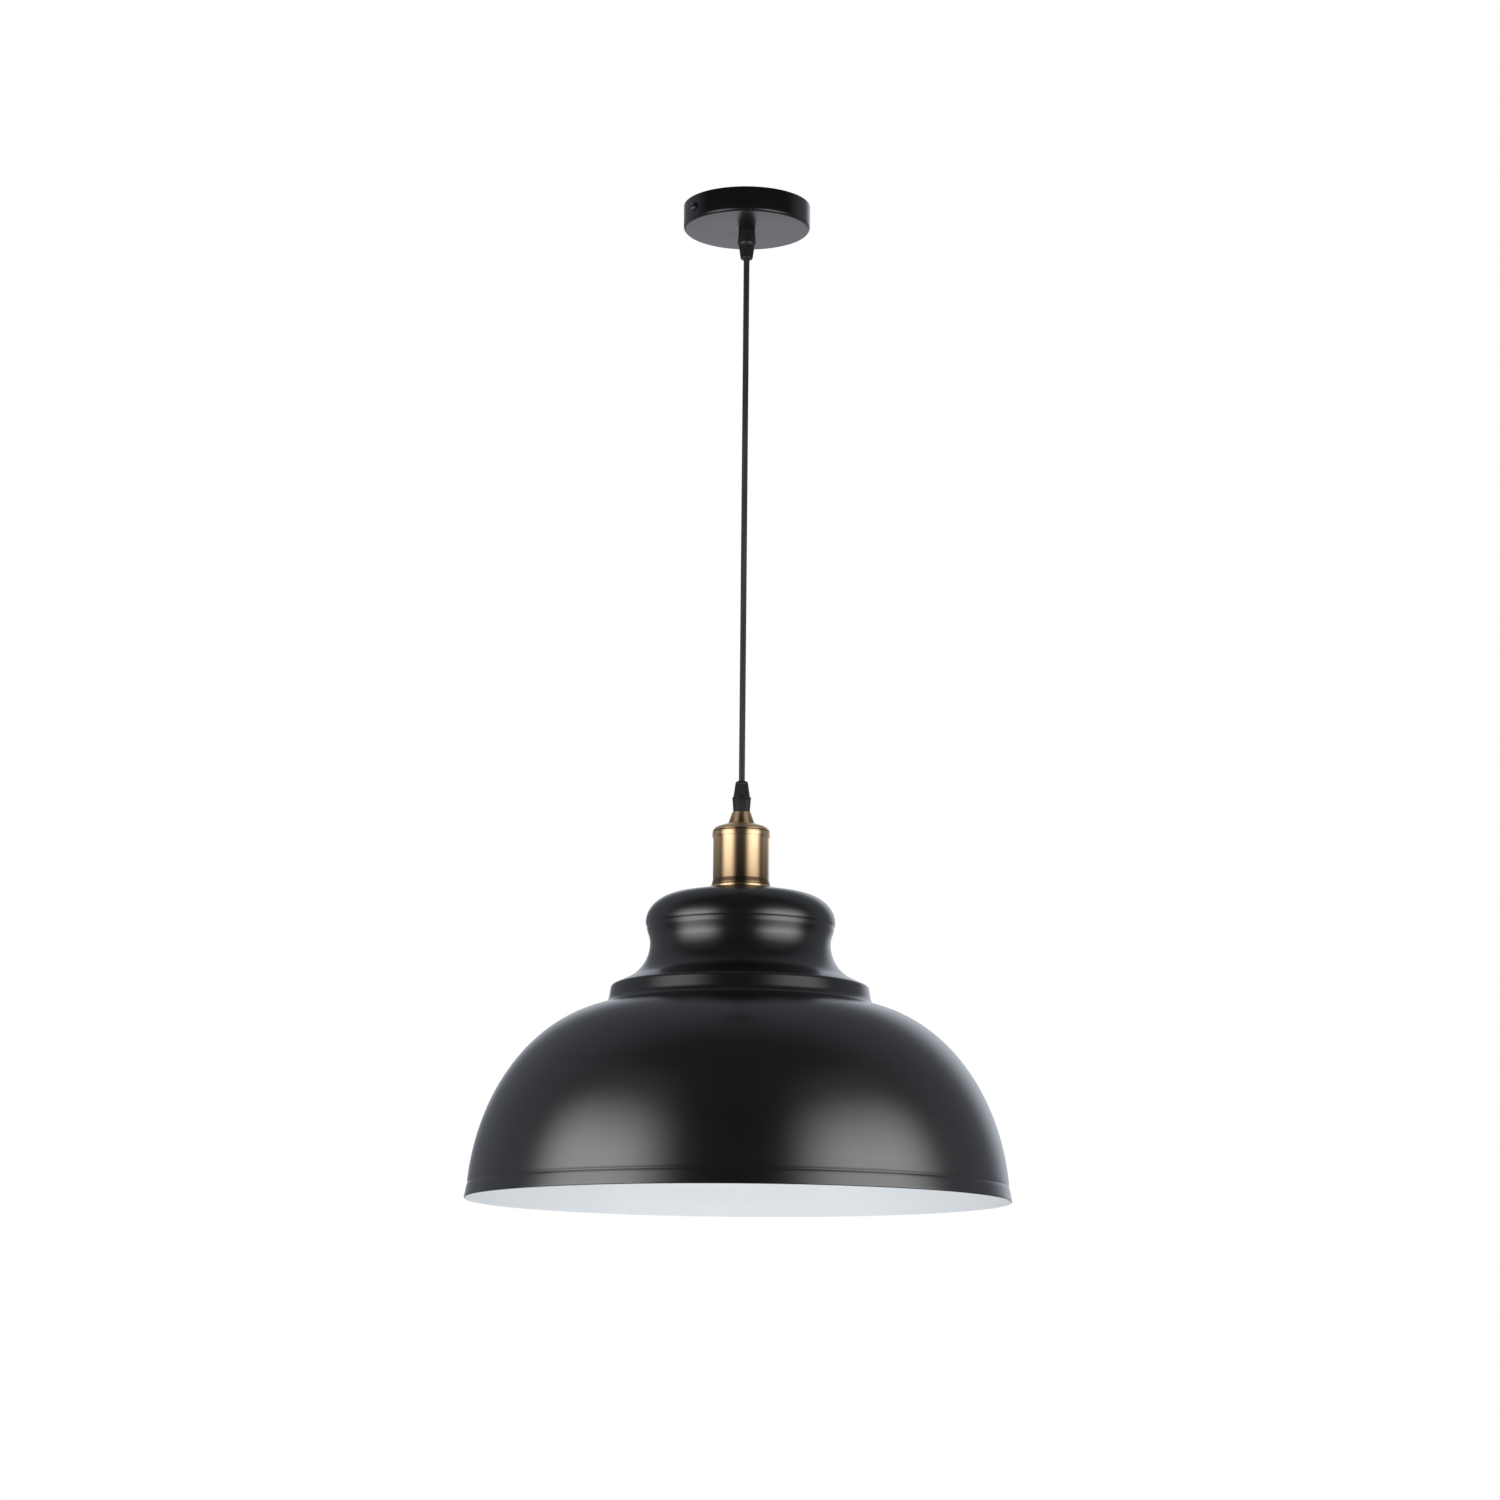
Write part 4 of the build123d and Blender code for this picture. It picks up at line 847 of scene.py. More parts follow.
def add_cup():
    """Cup from its mouth up: a bead, a flare, a straight wall, a rolled band and a domed shoulder.

    The band swells by half a cosine wave, and a fine line is pressed in where the dome starts.
    """
    low, high = node_box("holder_cup")
    seat, top = low[2], high[2]
    flange = high[0] + CUP_FLANGE_LIP
    shoulder = top - CUP_SHOULDER_HEIGHT
    band = shoulder - CUP_BAND_HEIGHT
    foot = CUP_RADIUS + CUP_FLARE_REACH
    inner = CUP_RADIUS - CUP_WALL
    flare_foot = seat + CUP_FLARE_FOOT
    flare_top = seat + CUP_FLARE_TOP
    groove = flare_foot - CUP_LIP - CUP_GROOVE
    line_level = shoulder + CUP_LINE_RISE
    wall = rounded(
        [
            (inner, seat, CUP_MOUTH_EDGE),
            (foot, seat, CUP_CORNER_EDGE),
            (foot, seat + CUP_FLANGE_FOOT, CUP_CORNER_EDGE),
            (flange, seat + CUP_FLANGE_FOOT, CUP_FLANGE_EDGE),
            (flange, seat + CUP_FLANGE_TOP, CUP_FLANGE_EDGE),
            (foot - CUP_GROOVE, groove, CUP_CORNER_EDGE),
            (foot, flare_foot - CUP_LIP, CUP_LIP_EDGE),
            (foot, flare_foot, CUP_FLARE_FOOT_EDGE),
            (CUP_RADIUS, flare_top, CUP_FLARE_BEND),
            (CUP_RADIUS, band, 0),
            (inner, band, 0),
        ]
    )[:-2]
    roll = np.linspace(0, 1, 16)[:, None]
    roll_reach = CUP_RADIUS + (CUP_BAND_RADIUS - CUP_RADIUS) * (1 - np.cos(np.pi * roll)) / 2
    swell = np.hstack([roll_reach, band + CUP_BAND_ROLL * roll])
    dome = rounded(
        [
            (CUP_BAND_RADIUS, shoulder - CUP_BAND_FALL, 0),
            (CUP_BAND_RADIUS, top - CUP_SHOULDER_DROP, CUP_SHOULDER_ROUND),
            (CUP_SHOULDER_FLAT, top, CUP_SHOULDER_FLAT_EDGE),
            (STUB_HOLE, top, 0),
            (STUB_HOLE, top - CUP_WALL, 0),
            (CUP_SHOULDER_FLAT, top - CUP_WALL, CUP_SHOULDER_FLAT_EDGE),
            (inner, top - CUP_SHOULDER_DROP - CUP_WALL, CUP_SHOULDER_ROUND - CUP_WALL),
            (inner, band, 0),
        ],
        steps=32,
    )[1:-1]
    pressed_line = (CUP_BAND_RADIUS - CUP_LINE_INSET, line_level, CUP_LINE_DEPTH, CUP_LINE_HALF_WIDTH)
    outline = grooved(np.vstack([wall, swell, dome]), pressed_line)
    cup = turned("brass_cup", outline, columns=240)
    # Dark brown painted as shade in the groove over the bead, on the upward-facing flare and in the pressed line,
    # with some browning.
    add_patina_and_shade(
        cup,
        [
            (seat, 0.0),
            (groove - GROOVE_DARKENING_FADE, 0.0),
            (groove - DARKENING_HALF_WIDTH, GROOVE_DARKENING),
            (groove + DARKENING_HALF_WIDTH, GROOVE_DARKENING),
            (groove + DARKENING_FADE, LIP_DARKENING),
            (flare_foot + FLARE_PAINTED_SHADE_START, FLARE_PAINTED_SHADE),
            (flare_top - FLARE_PAINTED_SHADE_END, FLARE_PAINTED_SHADE),
            (flare_top + FLARE_PAINTED_SHADE_FADE, 0.0),
            (line_level - DARKENING_FADE, 0.0),
            (line_level - DARKENING_HALF_WIDTH, LINE_DARKENING),
            (line_level + DARKENING_HALF_WIDTH, LINE_DARKENING),
            (line_level + DARKENING_FADE, 0.0),
        ],
    )
    dress(cup, "pendant", "antique_brass", "holder_cup", ANTIQUE_BRASS)


def add_cone():
    """Cone between the cup and the grip, darkened round its foot where it meets the cup: painted shade with some
    browning.
    """
    low, high = node_box("holder_cone")
    foot, top = low[2], high[2]
    outline = rounded(
        [
            (STUB_HOLE, foot, 0),
            (high[0], foot, CONE_FOOT_EDGE),
            (CONE_TOP_RADIUS, top, CONE_TOP_EDGE),
            (STUB_HOLE, top, 0),
        ]
    )
    cone = turned("brass_cone", outline)
    add_patina_and_shade(cone, [(foot + CONE_DARKENING_START, CONE_DARKENING), (foot + CONE_DARKENING_END, 0.0)])
    dress(cone, "pendant", "antique_brass", "holder_cone", ANTIQUE_BRASS)


# Lamp socket

SOCKET_BORE = 14.5
SOCKET_BORE_DEPTH = 28.0
SOCKET_CENTRE = 2.0
SOCKET_FLOOR_FLAT = 1.0
SOCKET_TOP_FLAT = 2.0
SOCKET_FLOOR_EDGE = 0.6
SOCKET_MOUTH_EDGE = 0.8
SOCKET_FOOT_EDGE = 1.2
SOCKET_TOP_EDGE = 0.8
SHELL_CREST = 12.3
SHELL_ROOT = 13.35
SHELL_PITCH = 3.6
SHELL_SHEET = 0.4
SHELL_TURNS = 6
SHELL_RUN_OUT = 1.0
SHELL_FLOOR_HOLE = 7.2
RING_FIT = 0.08
RING_NOTCHES = 24
RING_NOTCH_DEPTH = 0.9
RING_NOTCH_START = 1.5
RING_NOTCH_END = 0.5
RING_NOTCH_POWER = 1.5
RING_BORE_EDGE = 0.4
RING_FOOT_EDGE = 0.9
RING_TOP_EDGE = 0.3
RING_SEAT_EDGE = 0.2


def add_socket_body():
    """Porcelain cylinder with a rounded bore from below; flat caps close its middle at both ends."""
    low, high = node_box("socket_insulator")
    mouth, top = low[2], high[2]
    radius = high[0]
    floor = mouth + SOCKET_BORE_DEPTH
    wall = rounded(
        [
            (SOCKET_CENTRE, floor, 0),
            (SOCKET_BORE, floor, SOCKET_FLOOR_EDGE),
            (SOCKET_BORE, mouth, SOCKET_MOUTH_EDGE),
            (radius, mouth, SOCKET_FOOT_EDGE),
            (radius, top, SOCKET_TOP_EDGE),
            (SOCKET_CENTRE, top, 0),
        ]
    )[1:-1]
    outline = np.vstack(
        [
            line((SOCKET_CENTRE, floor), (SOCKET_BORE - SOCKET_FLOOR_FLAT, floor), 4),
            wall,
            line((radius - SOCKET_TOP_FLAT, top), (SOCKET_CENTRE, top), 4),
        ]
    )
    porcelain = turned("socket_porcelain", outline, columns=160, closed=False)
    dress(porcelain, "pendant", "porcelain", "socket_insulator", PORCELAIN)


def add_screw_shell():
    """Brass sheet with a plain mouth, a rolled screw thread, and a floor with a round hole."""
    low, high = node_box("socket_shell")
    mouth, floor = low[2], high[2]
    middle = (SHELL_ROOT + SHELL_CREST) / 2
    swing = (SHELL_ROOT - SHELL_CREST) / 2
    thread_end = floor - SHELL_SHEET
    thread_start = thread_end - SHELL_TURNS * SHELL_PITCH
    mouth_end = thread_start - SHELL_PITCH / 2
    rise = np.linspace(thread_start, thread_end, 12 * SHELL_TURNS)
    inside = np.stack([np.full_like(rise, middle), rise], axis=1)
    outline = np.vstack(
        [
            [(SHELL_ROOT + SHELL_SHEET, mouth), (SHELL_ROOT + SHELL_SHEET, mouth_end)],
            inside[:-1] + (SHELL_SHEET, 0),
            [(middle + SHELL_SHEET, floor), (SHELL_FLOOR_HOLE, floor), (SHELL_FLOOR_HOLE, thread_end)],
            inside[::-1],
            [(SHELL_ROOT, mouth_end), (SHELL_ROOT, mouth)],
        ]
    )
    fade_heights = (thread_start, thread_start + SHELL_RUN_OUT, thread_end - SHELL_RUN_OUT, thread_end)

    def helix(radius, height, angle):
        """r plus a sine of height and angle on the threaded rows alone, that fades at both ends."""
        threaded = (radius > SHELL_CREST) & (radius < SHELL_ROOT)
        depth = swing * np.interp(height, fade_heights, (0, 1, 1, 0))
        wave = np.sin(2 * np.pi * (height - thread_start) / SHELL_PITCH - angle)
        return radius + threaded * depth * wave

    shell = turned("screw_shell", outline, columns=120, shape=helix)
    dress(shell, "pendant", "contact_brass", "socket_shell", PRESSED_BRASS)


def add_clamp_ring():
    """Phenolic ring that clamps the shade, with finger notches all round its outer edge."""
    low, high = node_box("shade_ring")
    foot, top = low[2], high[2]
    outer = high[0]
    bore = node_box("socket_insulator")[1][0] + RING_FIT
    outline = rounded(
        [
            (bore, foot, RING_BORE_EDGE),
            (outer, foot, RING_FOOT_EDGE),
            (outer, top, RING_TOP_EDGE),
            (bore, top, RING_SEAT_EDGE),
        ],
        steps=8,
    )

    def notches(radius, height, angle):
        """r less a power of a clipped cosine, fading out inwards; the height plays no part."""
        share = np.interp(radius, (outer - RING_NOTCH_START, outer - RING_NOTCH_END), (0, 1))
        scallop = np.clip(np.cos(RING_NOTCHES * angle), 0, 1) ** RING_NOTCH_POWER
        return radius - share * RING_NOTCH_DEPTH * scallop

    ring = turned("shade_clamp_ring", outline, columns=16 * RING_NOTCHES, shape=notches)
    dress(ring, "clamp_ring", "phenolic", "shade_ring", BLACK_PHENOLIC)


# Shade

SHADE_WALL = 1.0
SHADE_RIM_FLARE = 2.0
SHADE_RIM_BAND = 11.0
SHADE_DOME_HEIGHT = 142.2
SHADE_DOME_DROP = 5.3
SHADE_DOME_TOP_ANGLE = 79.8
SHADE_LEDGE = 5.4
SHADE_BAND_BOTTOM = 97.4
SHADE_BAND_TOP = 95.3
SHADE_BAND_HEIGHT = 14.8
SHADE_BAND_EDGE = 3.0
SHADE_COVE = 7.6
SHADE_FLARE_RADIUS = 82.7
SHADE_FLARE_RISE = 5.8
SHADE_NECK_HEIGHT = 26.6
SHADE_WAIST_RADIUS = 66.9
SHADE_WAIST_RISE = 15.6
SHADE_SHOULDER_RADIUS = 70.3
SHADE_SHOULDER_WIDTH = 27.3
SHADE_SHOULDER_HEIGHT = 21.4
SHADE_SHOULDER_TOP_ANGLE = 80.8
SHADE_SEAT_RADIUS = 27.5
SHADE_HOLE = 19.6
SHADE_CROWDING = 1.4
SHADE_COLUMNS = 240
RIM_LINE_DEPTH = 0.38
RIM_LINE_HALF_WIDTH = 1.0
SHOULDER_LINE_DROP = 3.7
SHOULDER_LINE_DEPTH = 0.45
SHOULDER_LINE_HALF_WIDTH = 1.5


def shade_outline(rim, rim_radius, seat, inset, fine):
    """Section of the shade from rim to hole, moved inwards by inset, with rows in proportion to fine.

    A flared band, an elliptic dome, a cove up to an upright band, a concave neck, a swell of half a cosine
    wave, an elliptic shoulder and a gentle crown. With it come the points where the two lines are pressed.
    """
    step = rim + SHADE_DOME_HEIGHT
    dome_centre_level = rim - SHADE_DOME_DROP
    dome_rise = (step - dome_centre_level) / np.sin(np.radians(SHADE_DOME_TOP_ANGLE))
    crease_angle = np.degrees(np.arcsin((SHADE_RIM_BAND + SHADE_DOME_DROP) / dome_rise))
    crease_radius = rim_radius - SHADE_RIM_FLARE
    dome_start = SHADE_BAND_BOTTOM + SHADE_LEDGE
    cosines = np.cos(np.radians((crease_angle, SHADE_DOME_TOP_ANGLE)))
    dome_reach = (crease_radius - dome_start) / (cosines[0] - cosines[1])
    dome_centre = dome_start - dome_reach * cosines[1]
    band = step + SHADE_BAND_HEIGHT
    flare = band + SHADE_FLARE_RISE
    waist = flare + SHADE_NECK_HEIGHT
    shoulder = waist + SHADE_WAIST_RISE
    neck_spread = SHADE_FLARE_RADIUS - SHADE_WAIST_RADIUS
    neck_arc = (neck_spread**2 + SHADE_NECK_HEIGHT**2) / (2 * neck_spread)
    neck_turn = np.degrees(np.arcsin(SHADE_NECK_HEIGHT / neck_arc))
    waist_spread = SHADE_SHOULDER_RADIUS - SHADE_WAIST_RADIUS
    dome = arc(
        (dome_centre, dome_centre_level),
        (dome_reach - inset, dome_rise - inset),
        crease_angle,
        SHADE_DOME_TOP_ANGLE,
        8 * fine,
        SHADE_CROWDING,
    )
    neck = arc(
        (SHADE_WAIST_RADIUS + neck_arc, waist),
        (neck_arc + inset, neck_arc + inset),
        180 + neck_turn,
        180,
        3 * fine,
    )
    swell = np.linspace(0, 1, 4 * fine)[:, None]
    upper_waist = np.hstack(
        [
            SHADE_WAIST_RADIUS - inset + waist_spread * (1 - np.cos(np.pi * swell)) / 2,
            waist + SHADE_WAIST_RISE * swell,
        ]
    )
    top = arc(
        (SHADE_SHOULDER_RADIUS - SHADE_SHOULDER_WIDTH, shoulder),
        (SHADE_SHOULDER_WIDTH - inset, SHADE_SHOULDER_HEIGHT - inset),
        0,
        SHADE_SHOULDER_TOP_ANGLE,
        5 * fine,
        SHADE_CROWDING,
    )
    foot = SHADE_BAND_BOTTOM - inset
    slope = (dome[-1, 1] - dome[-2, 1]) / (dome[-1, 0] - dome[-2, 0])
    step_corners = rounded(
        [
            (*dome[-1], 0),
            (foot, dome[-1, 1] + slope * (foot - dome[-1, 0]), SHADE_COVE),
            (SHADE_BAND_TOP - inset, band - inset, SHADE_BAND_EDGE),
            (*neck[0], 0),
        ],
        steps=fine,
    )
    crease = (crease_radius - inset, rim + SHADE_RIM_BAND)
    rim_edge = (rim_radius - inset, rim + SHADE_WALL / 2)
    rim_band = line(crease, rim_edge, fine, SHADE_CROWDING)[::-1]
    crown = line(top[-1], (SHADE_SEAT_RADIUS, seat - inset), 4)
    outline = np.vstack(
        [
            rim_band[:-1],
            dome,
            step_corners[1:-1],
            neck[:-1],
            upper_waist[:-1],
            top,
            crown[1:],
            [(SHADE_HOLE, seat - inset)],
        ]
    )
    line_row = int(np.argmin(np.abs(upper_waist[:, 1] - (shoulder - SHOULDER_LINE_DROP))))
    return outline, crease, upper_waist[line_row]


def add_shade():
    """Spun shell, black outside and white inside, with lines pressed in over the rim and in the neck."""
    low, high = node_box("shade")
    rim, rim_radius = low[2], high[0]
    seat = node_box("holder_cup")[0][2]
    outside, crease, shoulder_line = shade_outline(rim, rim_radius, seat, 0.0, 10)
    outside = grooved(
        outside,
        (*crease, RIM_LINE_DEPTH, RIM_LINE_HALF_WIDTH),
        (*shoulder_line, SHOULDER_LINE_DEPTH, SHOULDER_LINE_HALF_WIDTH),
    )
    inside, _, _ = shade_outline(rim, rim_radius, seat, SHADE_WALL, 5)
    lip_radius = SHADE_WALL / 2
    lip = arc((rim_radius - lip_radius, rim + lip_radius), (lip_radius, lip_radius), 180, 360, 9)[1:-1]
    outline = np.vstack([outside, inside[::-1], lip])
    piece = turned("shade_spun", outline, columns=SHADE_COLUMNS)
    # The white runs from the hole down the inside and over the first two rows of the lip.
    row = np.arange(len(outline))
    white = (row >= len(outside)) & (row < len(outside) + len(inside) + 2)
    material_index = np.repeat(white.astype(np.int32), SHADE_COLUMNS)
    piece.data.polygons.foreach_set("material_index", material_index)
    dress(piece, "pendant", "satin_black_paint", "shade", SATIN_BLACK, WHITE_ENAMEL)


# Stage, with lengths in metres, angles in degrees and brightness as a share of white

# Surroundings, whose starts and ends are heights or cosines of a direction
ROOM_LEVEL = 0.03
ROOF_LEVEL = 0.085
ROOF_START = 0.5
ROOF_FULL = 0.9
SIDE_LEVEL = 0.29
SIDE_START = -0.2
SIDE_FULL = 0.3
BACKDROP_LEVEL = 1.25
BACKDROP_TURN = 10.0
BACKDROP_RISE = 0.25
BACKDROP_EDGE = 0.84
BACKDROP_FULL = 0.985
BACKDROP_TOP = 0.75
BACKDROP_TOP_FULL = 0.4
# Floor
FLOOR_LEVEL = -2.6
FLOOR_HALF_WIDTH = 20.0
FLOOR_GLOW_NEAR = 1.2
FLOOR_GLOW_FAR = 0.25
FLOOR_GLOW_REACH = 4.0
FLOOR_PALE_NEAR = 0.8
FLOOR_PALE_START = 4.0
FLOOR_WHITE_START = 10.0
FLOOR_FAR_LEVEL = 0.28
FLOOR_FAR_REACH = 4.0
FLOOR_SPOT_DISTANCE = 8.0
FLOOR_SPOT_LEVEL = 0.66
FLOOR_SPOT_EDGE = 6.0
FLOOR_SPOT_FULL = 2.0
# Softboxes, whose fades are shares of the panel
SOFTBOX_RADIANCE = 4.5
SOFTBOX_DISTANCE = 0.65
SOFTBOX_CENTRE = -0.5
SOFTBOX_HEIGHT = 1.1
SOFTBOX_SIDE_FULL = 0.1
SOFTBOX_FALL_START = 0.31
SOFTBOX_FALL_END = 0.8
SOFTBOX_FALL_LEVEL = 0.04
SOFTBOX_RISE_END = 0.45
LEFT_AZIMUTH = -54.3
LEFT_WIDTH = 0.9
RIGHT_AZIMUTH = 51.0
RIGHT_WIDTH = 0.96
RIGHT_SHARE = 0.96
# Lamp over the canopy, its power in watts
CANOPY_LAMP_WIDTH = 0.074
CANOPY_LAMP_HEIGHT = 0.3
CANOPY_LAMP_SPREAD = 4.0
CANOPY_LAMP_POWER = 0.05


def away_from_camera(aside=0.0):
    """Level direction from the camera past the light, turned to the right by an angle in degrees."""
    turn = np.radians(CAMERA_AZIMUTH - aside)
    return (-np.sin(turn), np.cos(turn), 0.0)


def add_world():
    """White to the camera, and a studio to every other ray.

    The studio has a white backdrop behind the light, grey sides, and a dim room in front with a paler roof.
    """
    world = bpy.data.worlds.new("studio")
    bpy.context.scene.world = world
    world.use_nodes = True
    tree = world.node_tree
    sky = tree.nodes["Background"]
    direction = node(tree, "TexCoord").outputs["Generated"]
    height = node(tree, "SeparateXYZ", {"Vector": direction})
    facing = node(tree, "VectorMath", {0: direction, 1: away_from_camera()}, operation="DOT_PRODUCT")
    overhead = node(
        tree,
        "MapRange",
        {
            "Value": height.outputs["Z"],
            "From Min": ROOF_START,
            "From Max": ROOF_FULL,
            "To Min": ROOM_LEVEL,
            "To Max": ROOF_LEVEL,
        },
        interpolation_type="SMOOTHSTEP",
    )
    sides = node(
        tree,
        "MapRange",
        {
            "Value": facing.outputs["Value"],
            "From Min": SIDE_START,
            "From Max": SIDE_FULL,
            "To Min": overhead.outputs["Result"],
            "To Max": SIDE_LEVEL,
        },
        interpolation_type="SMOOTHSTEP",
    )
    aim = Vector(away_from_camera(BACKDROP_TURN)) + Vector((0.0, 0.0, BACKDROP_RISE))
    middle = node(tree, "VectorMath", {0: direction, 1: aim.normalized()}, operation="DOT_PRODUCT")
    behind_it = node(
        tree,
        "MapRange",
        {"Value": middle.outputs["Value"], "From Min": BACKDROP_EDGE, "From Max": BACKDROP_FULL},
        interpolation_type="SMOOTHSTEP",
    )
    below_top = node(
        tree,
        "MapRange",
        {"Value": height.outputs["Z"], "From Min": BACKDROP_TOP, "From Max": BACKDROP_TOP_FULL},
        interpolation_type="SMOOTHSTEP",
    )
    backdrop = node(
        tree,
        "Math",
        {0: behind_it.outputs["Result"], 1: below_top.outputs["Result"]},
        operation="MULTIPLY",
    )
    level = node(
        tree,
        "Mix",
        {0: backdrop.outputs["Value"], 2: sides.outputs["Result"], 3: BACKDROP_LEVEL},
    )
    seen = node(tree, "LightPath").outputs["Is Camera Ray"]
    strength = node(tree, "Mix", {0: seen, 2: level.outputs[0], 3: 1.0})
    tint = node(
        tree,
        "Mix",
        {0: seen, 6: linear("#eef4ff"), 7: linear("#ffffff")},
        data_type="RGBA",
    )
    tree.links.new(tint.outputs[2], sky.inputs["Color"])
    tree.links.new(strength.outputs[0], sky.inputs["Strength"])


def add_floor():
    """Floor far below the light, clear from underneath, whose glow depends on the ray.

    The camera sees it pale, and white in the distance. Reflections show only its far half bright. To every
    other ray it is brightest on the camera's side.
    """
    half = FLOOR_HALF_WIDTH
    mesh = bpy.data.meshes.new("floor")
    corners = [(-half, -half), (half, -half), (half, half), (-half, half)]
    mesh.from_pydata([(x, y, FLOOR_LEVEL) for x, y in corners], [], [(0, 1, 2, 3)])
    floor = bpy.data.objects.new("floor", mesh)
    bpy.context.scene.collection.objects.link(floor)
    material, tree, surface, place = new_material("pale_floor")
    surface.inputs["Base Color"].default_value = linear("#e8e8e8")
    surface.inputs["Roughness"].default_value = 0.9
    surface.inputs["Emission Color"].default_value = linear("#ffffff")
    path = node(tree, "LightPath")
    behind = Vector(away_from_camera())
    depth = node(tree, "VectorMath", {0: place, 1: behind}, operation="DOT_PRODUCT")
    bounce = node(
        tree,
        "MapRange",
        {
            "Value": depth.outputs["Value"],
            "From Min": -FLOOR_GLOW_REACH,
            "From Max": FLOOR_GLOW_REACH,
            "To Min": FLOOR_GLOW_NEAR,
            "To Max": FLOOR_GLOW_FAR,
        },
    )
    reach = node(tree, "VectorMath", {0: place}, operation="LENGTH")
    paleness = node(
        tree,
        "MapRange",
        {
            "Value": reach.outputs["Value"],
            "From Min": FLOOR_PALE_START,
            "From Max": FLOOR_WHITE_START,
            "To Min": FLOOR_PALE_NEAR,
            "To Max": 1.0,
        },
    )
    glow = node(
        tree,
        "Mix",
        {0: path.outputs["Is Camera Ray"], 2: bounce.outputs["Result"], 3: paleness.outputs["Result"]},
    )
    tree.links.new(glow.outputs[0], surface.inputs["Emission Strength"])
    far_half = node(
        tree,
        "MapRange",
        {
            "Value": depth.outputs["Value"],
            "From Max": FLOOR_FAR_REACH,
            "To Min": ROOM_LEVEL,
            "To Max": FLOOR_FAR_LEVEL,
        },
        interpolation_type="SMOOTHSTEP",
    )
    spot = FLOOR_SPOT_DISTANCE * behind + Vector((0.0, 0.0, FLOOR_LEVEL))
    gap = node(tree, "VectorMath", {0: place, 1: spot}, operation="DISTANCE")
    bright_spot = node(
        tree,
        "MapRange",
        {
            "Value": gap.outputs["Value"],
            "From Min": FLOOR_SPOT_EDGE,
            "From Max": FLOOR_SPOT_FULL,
            "To Max": FLOOR_SPOT_LEVEL,
        },
        interpolation_type="SMOOTHSTEP",
    )
    far = node(tree, "Math", {0: far_half.outputs["Result"], 1: bright_spot.outputs["Result"]})
    mirrored = node(tree, "Emission", {"Color": linear("#f2f5ff"), "Strength": far.outputs["Value"]})
    either = node(
        tree,
        "MixShader",
        {0: path.outputs["Is Glossy Ray"], 1: surface.outputs["BSDF"], 2: mirrored.outputs["Emission"]},
    )
    underside = node(tree, "NewGeometry").outputs["Backfacing"]
    clear = node(tree, "BsdfTransparent").outputs["BSDF"]
    one_sided = node(tree, "MixShader", {0: underside, 1: either.outputs["Shader"], 2: clear})
    tree.links.new(one_sided.outputs["Shader"], tree.nodes["Material Output"].inputs["Surface"])
    mesh.materials.append(material)


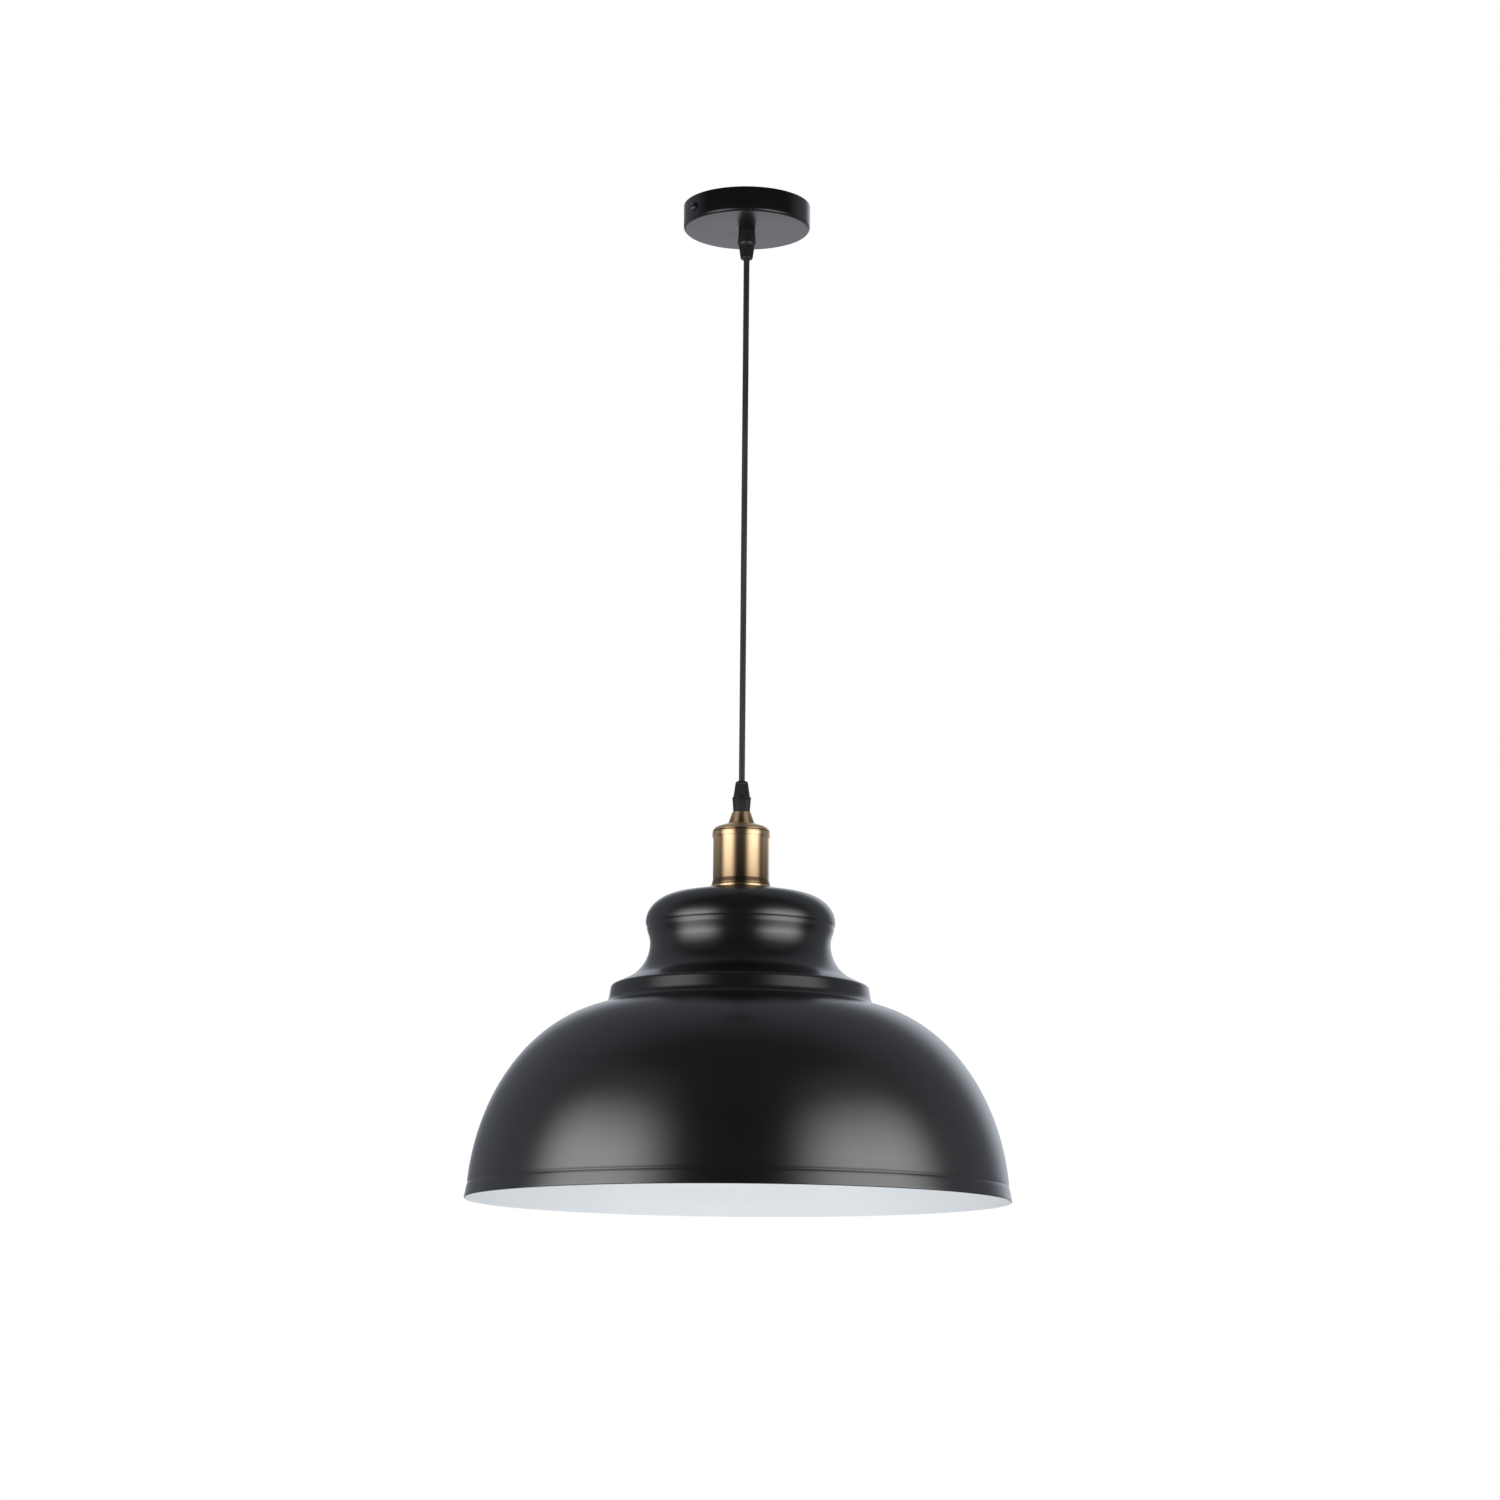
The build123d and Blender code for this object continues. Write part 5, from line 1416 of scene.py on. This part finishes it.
def add_softbox(name, azimuth, width, radiance):
    """Upright panel of light that faces the axis, at an azimuth counted from the camera.

    Its power gives the radiance at full glow. The glow is a product of three smooth steps of the place on
    the panel, from 0 to 1: one falls to nothing at both sides, and two rise and fall along its height.
    """
    data = bpy.data.lights.new(name, "AREA")
    data.shape = "RECTANGLE"
    data.size = width
    data.size_y = SOFTBOX_HEIGHT
    data.energy = radiance * np.pi * width * SOFTBOX_HEIGHT
    data.use_nodes = True
    tree = data.node_tree
    spot = node(tree, "SeparateXYZ", {"Vector": node(tree, "NewGeometry").outputs["Parametric"]})
    from_middle = node(tree, "Math", {0: spot.outputs["X"], 1: 0.5}, operation="SUBTRACT")
    aside = node(tree, "Math", {0: from_middle.outputs["Value"]}, operation="ABSOLUTE")
    across = node(
        tree,
        "MapRange",
        {"Value": aside.outputs["Value"], "From Min": 0.5, "From Max": SOFTBOX_SIDE_FULL},
        interpolation_type="SMOOTHSTEP",
    )
    fall = node(
        tree,
        "MapRange",
        {
            "Value": spot.outputs["Y"],
            "From Min": SOFTBOX_FALL_START,
            "From Max": SOFTBOX_FALL_END,
            "To Min": 1.0,
            "To Max": SOFTBOX_FALL_LEVEL,
        },
        interpolation_type="SMOOTHSTEP",
    )
    rise = node(
        tree,
        "MapRange",
        {"Value": spot.outputs["Y"], "From Max": SOFTBOX_RISE_END},
        interpolation_type="SMOOTHSTEP",
    )
    along = node(tree, "Math", {0: fall.outputs["Result"], 1: rise.outputs["Result"]}, operation="MULTIPLY")
    glow = node(
        tree,
        "Math",
        {0: across.outputs["Result"], 1: along.outputs["Value"]},
        operation="MULTIPLY",
    )
    tree.links.new(glow.outputs["Value"], tree.nodes["Emission"].inputs["Strength"])
    softbox = bpy.data.objects.new(name, data)
    bpy.context.scene.collection.objects.link(softbox)
    turn = np.radians(CAMERA_AZIMUTH + azimuth)
    away = Vector((np.sin(turn), -np.cos(turn), 0.0))
    place = SOFTBOX_DISTANCE * away + Vector((0.0, 0.0, SOFTBOX_CENTRE))
    facing = away.to_track_quat("Z", "Y").to_matrix().to_4x4()
    softbox.matrix_world = Matrix.Translation(place) @ facing
    softbox.visible_camera = False


def add_canopy_lamp():
    """Narrow beam straight down into the canopy, whose floor keeps it off everything below."""
    data = bpy.data.lights.new("canopy_lamp", "AREA")
    data.shape = "DISK"
    data.size = CANOPY_LAMP_WIDTH
    data.spread = np.radians(CANOPY_LAMP_SPREAD)
    data.energy = CANOPY_LAMP_POWER
    lamp = bpy.data.objects.new("canopy_lamp", data)
    bpy.context.scene.collection.objects.link(lamp)
    lamp.location.z = CANOPY_LAMP_HEIGHT
    lamp.visible_camera = False


# The light, put together

add_camera()
add_cord()
add_canopy()
canopy_bottom = node_box("canopy")[0][2]
cone_top = node_box("holder_cone")[1][2]
upper_stub = node_box("upper_grip_body")[1][2] - canopy_bottom
lower_stub = cone_top - node_box("lower_grip_body")[0][2]
add_grip("upper", "ceiling_mount", "upper_nut", canopy_bottom, -1, upper_stub)
add_grip("lower", "pendant", "lower_nut", cone_top, 1, lower_stub)
add_cup()
add_cone()
add_socket_body()
add_screw_shell()
add_clamp_ring()
add_shade()

add_world()
add_floor()
add_softbox("left_softbox", LEFT_AZIMUTH, LEFT_WIDTH, SOFTBOX_RADIANCE)
add_softbox("right_softbox", RIGHT_AZIMUTH, RIGHT_WIDTH, RIGHT_SHARE * SOFTBOX_RADIANCE)
add_canopy_lamp()
bpy.context.scene.view_settings.view_transform = "Standard"
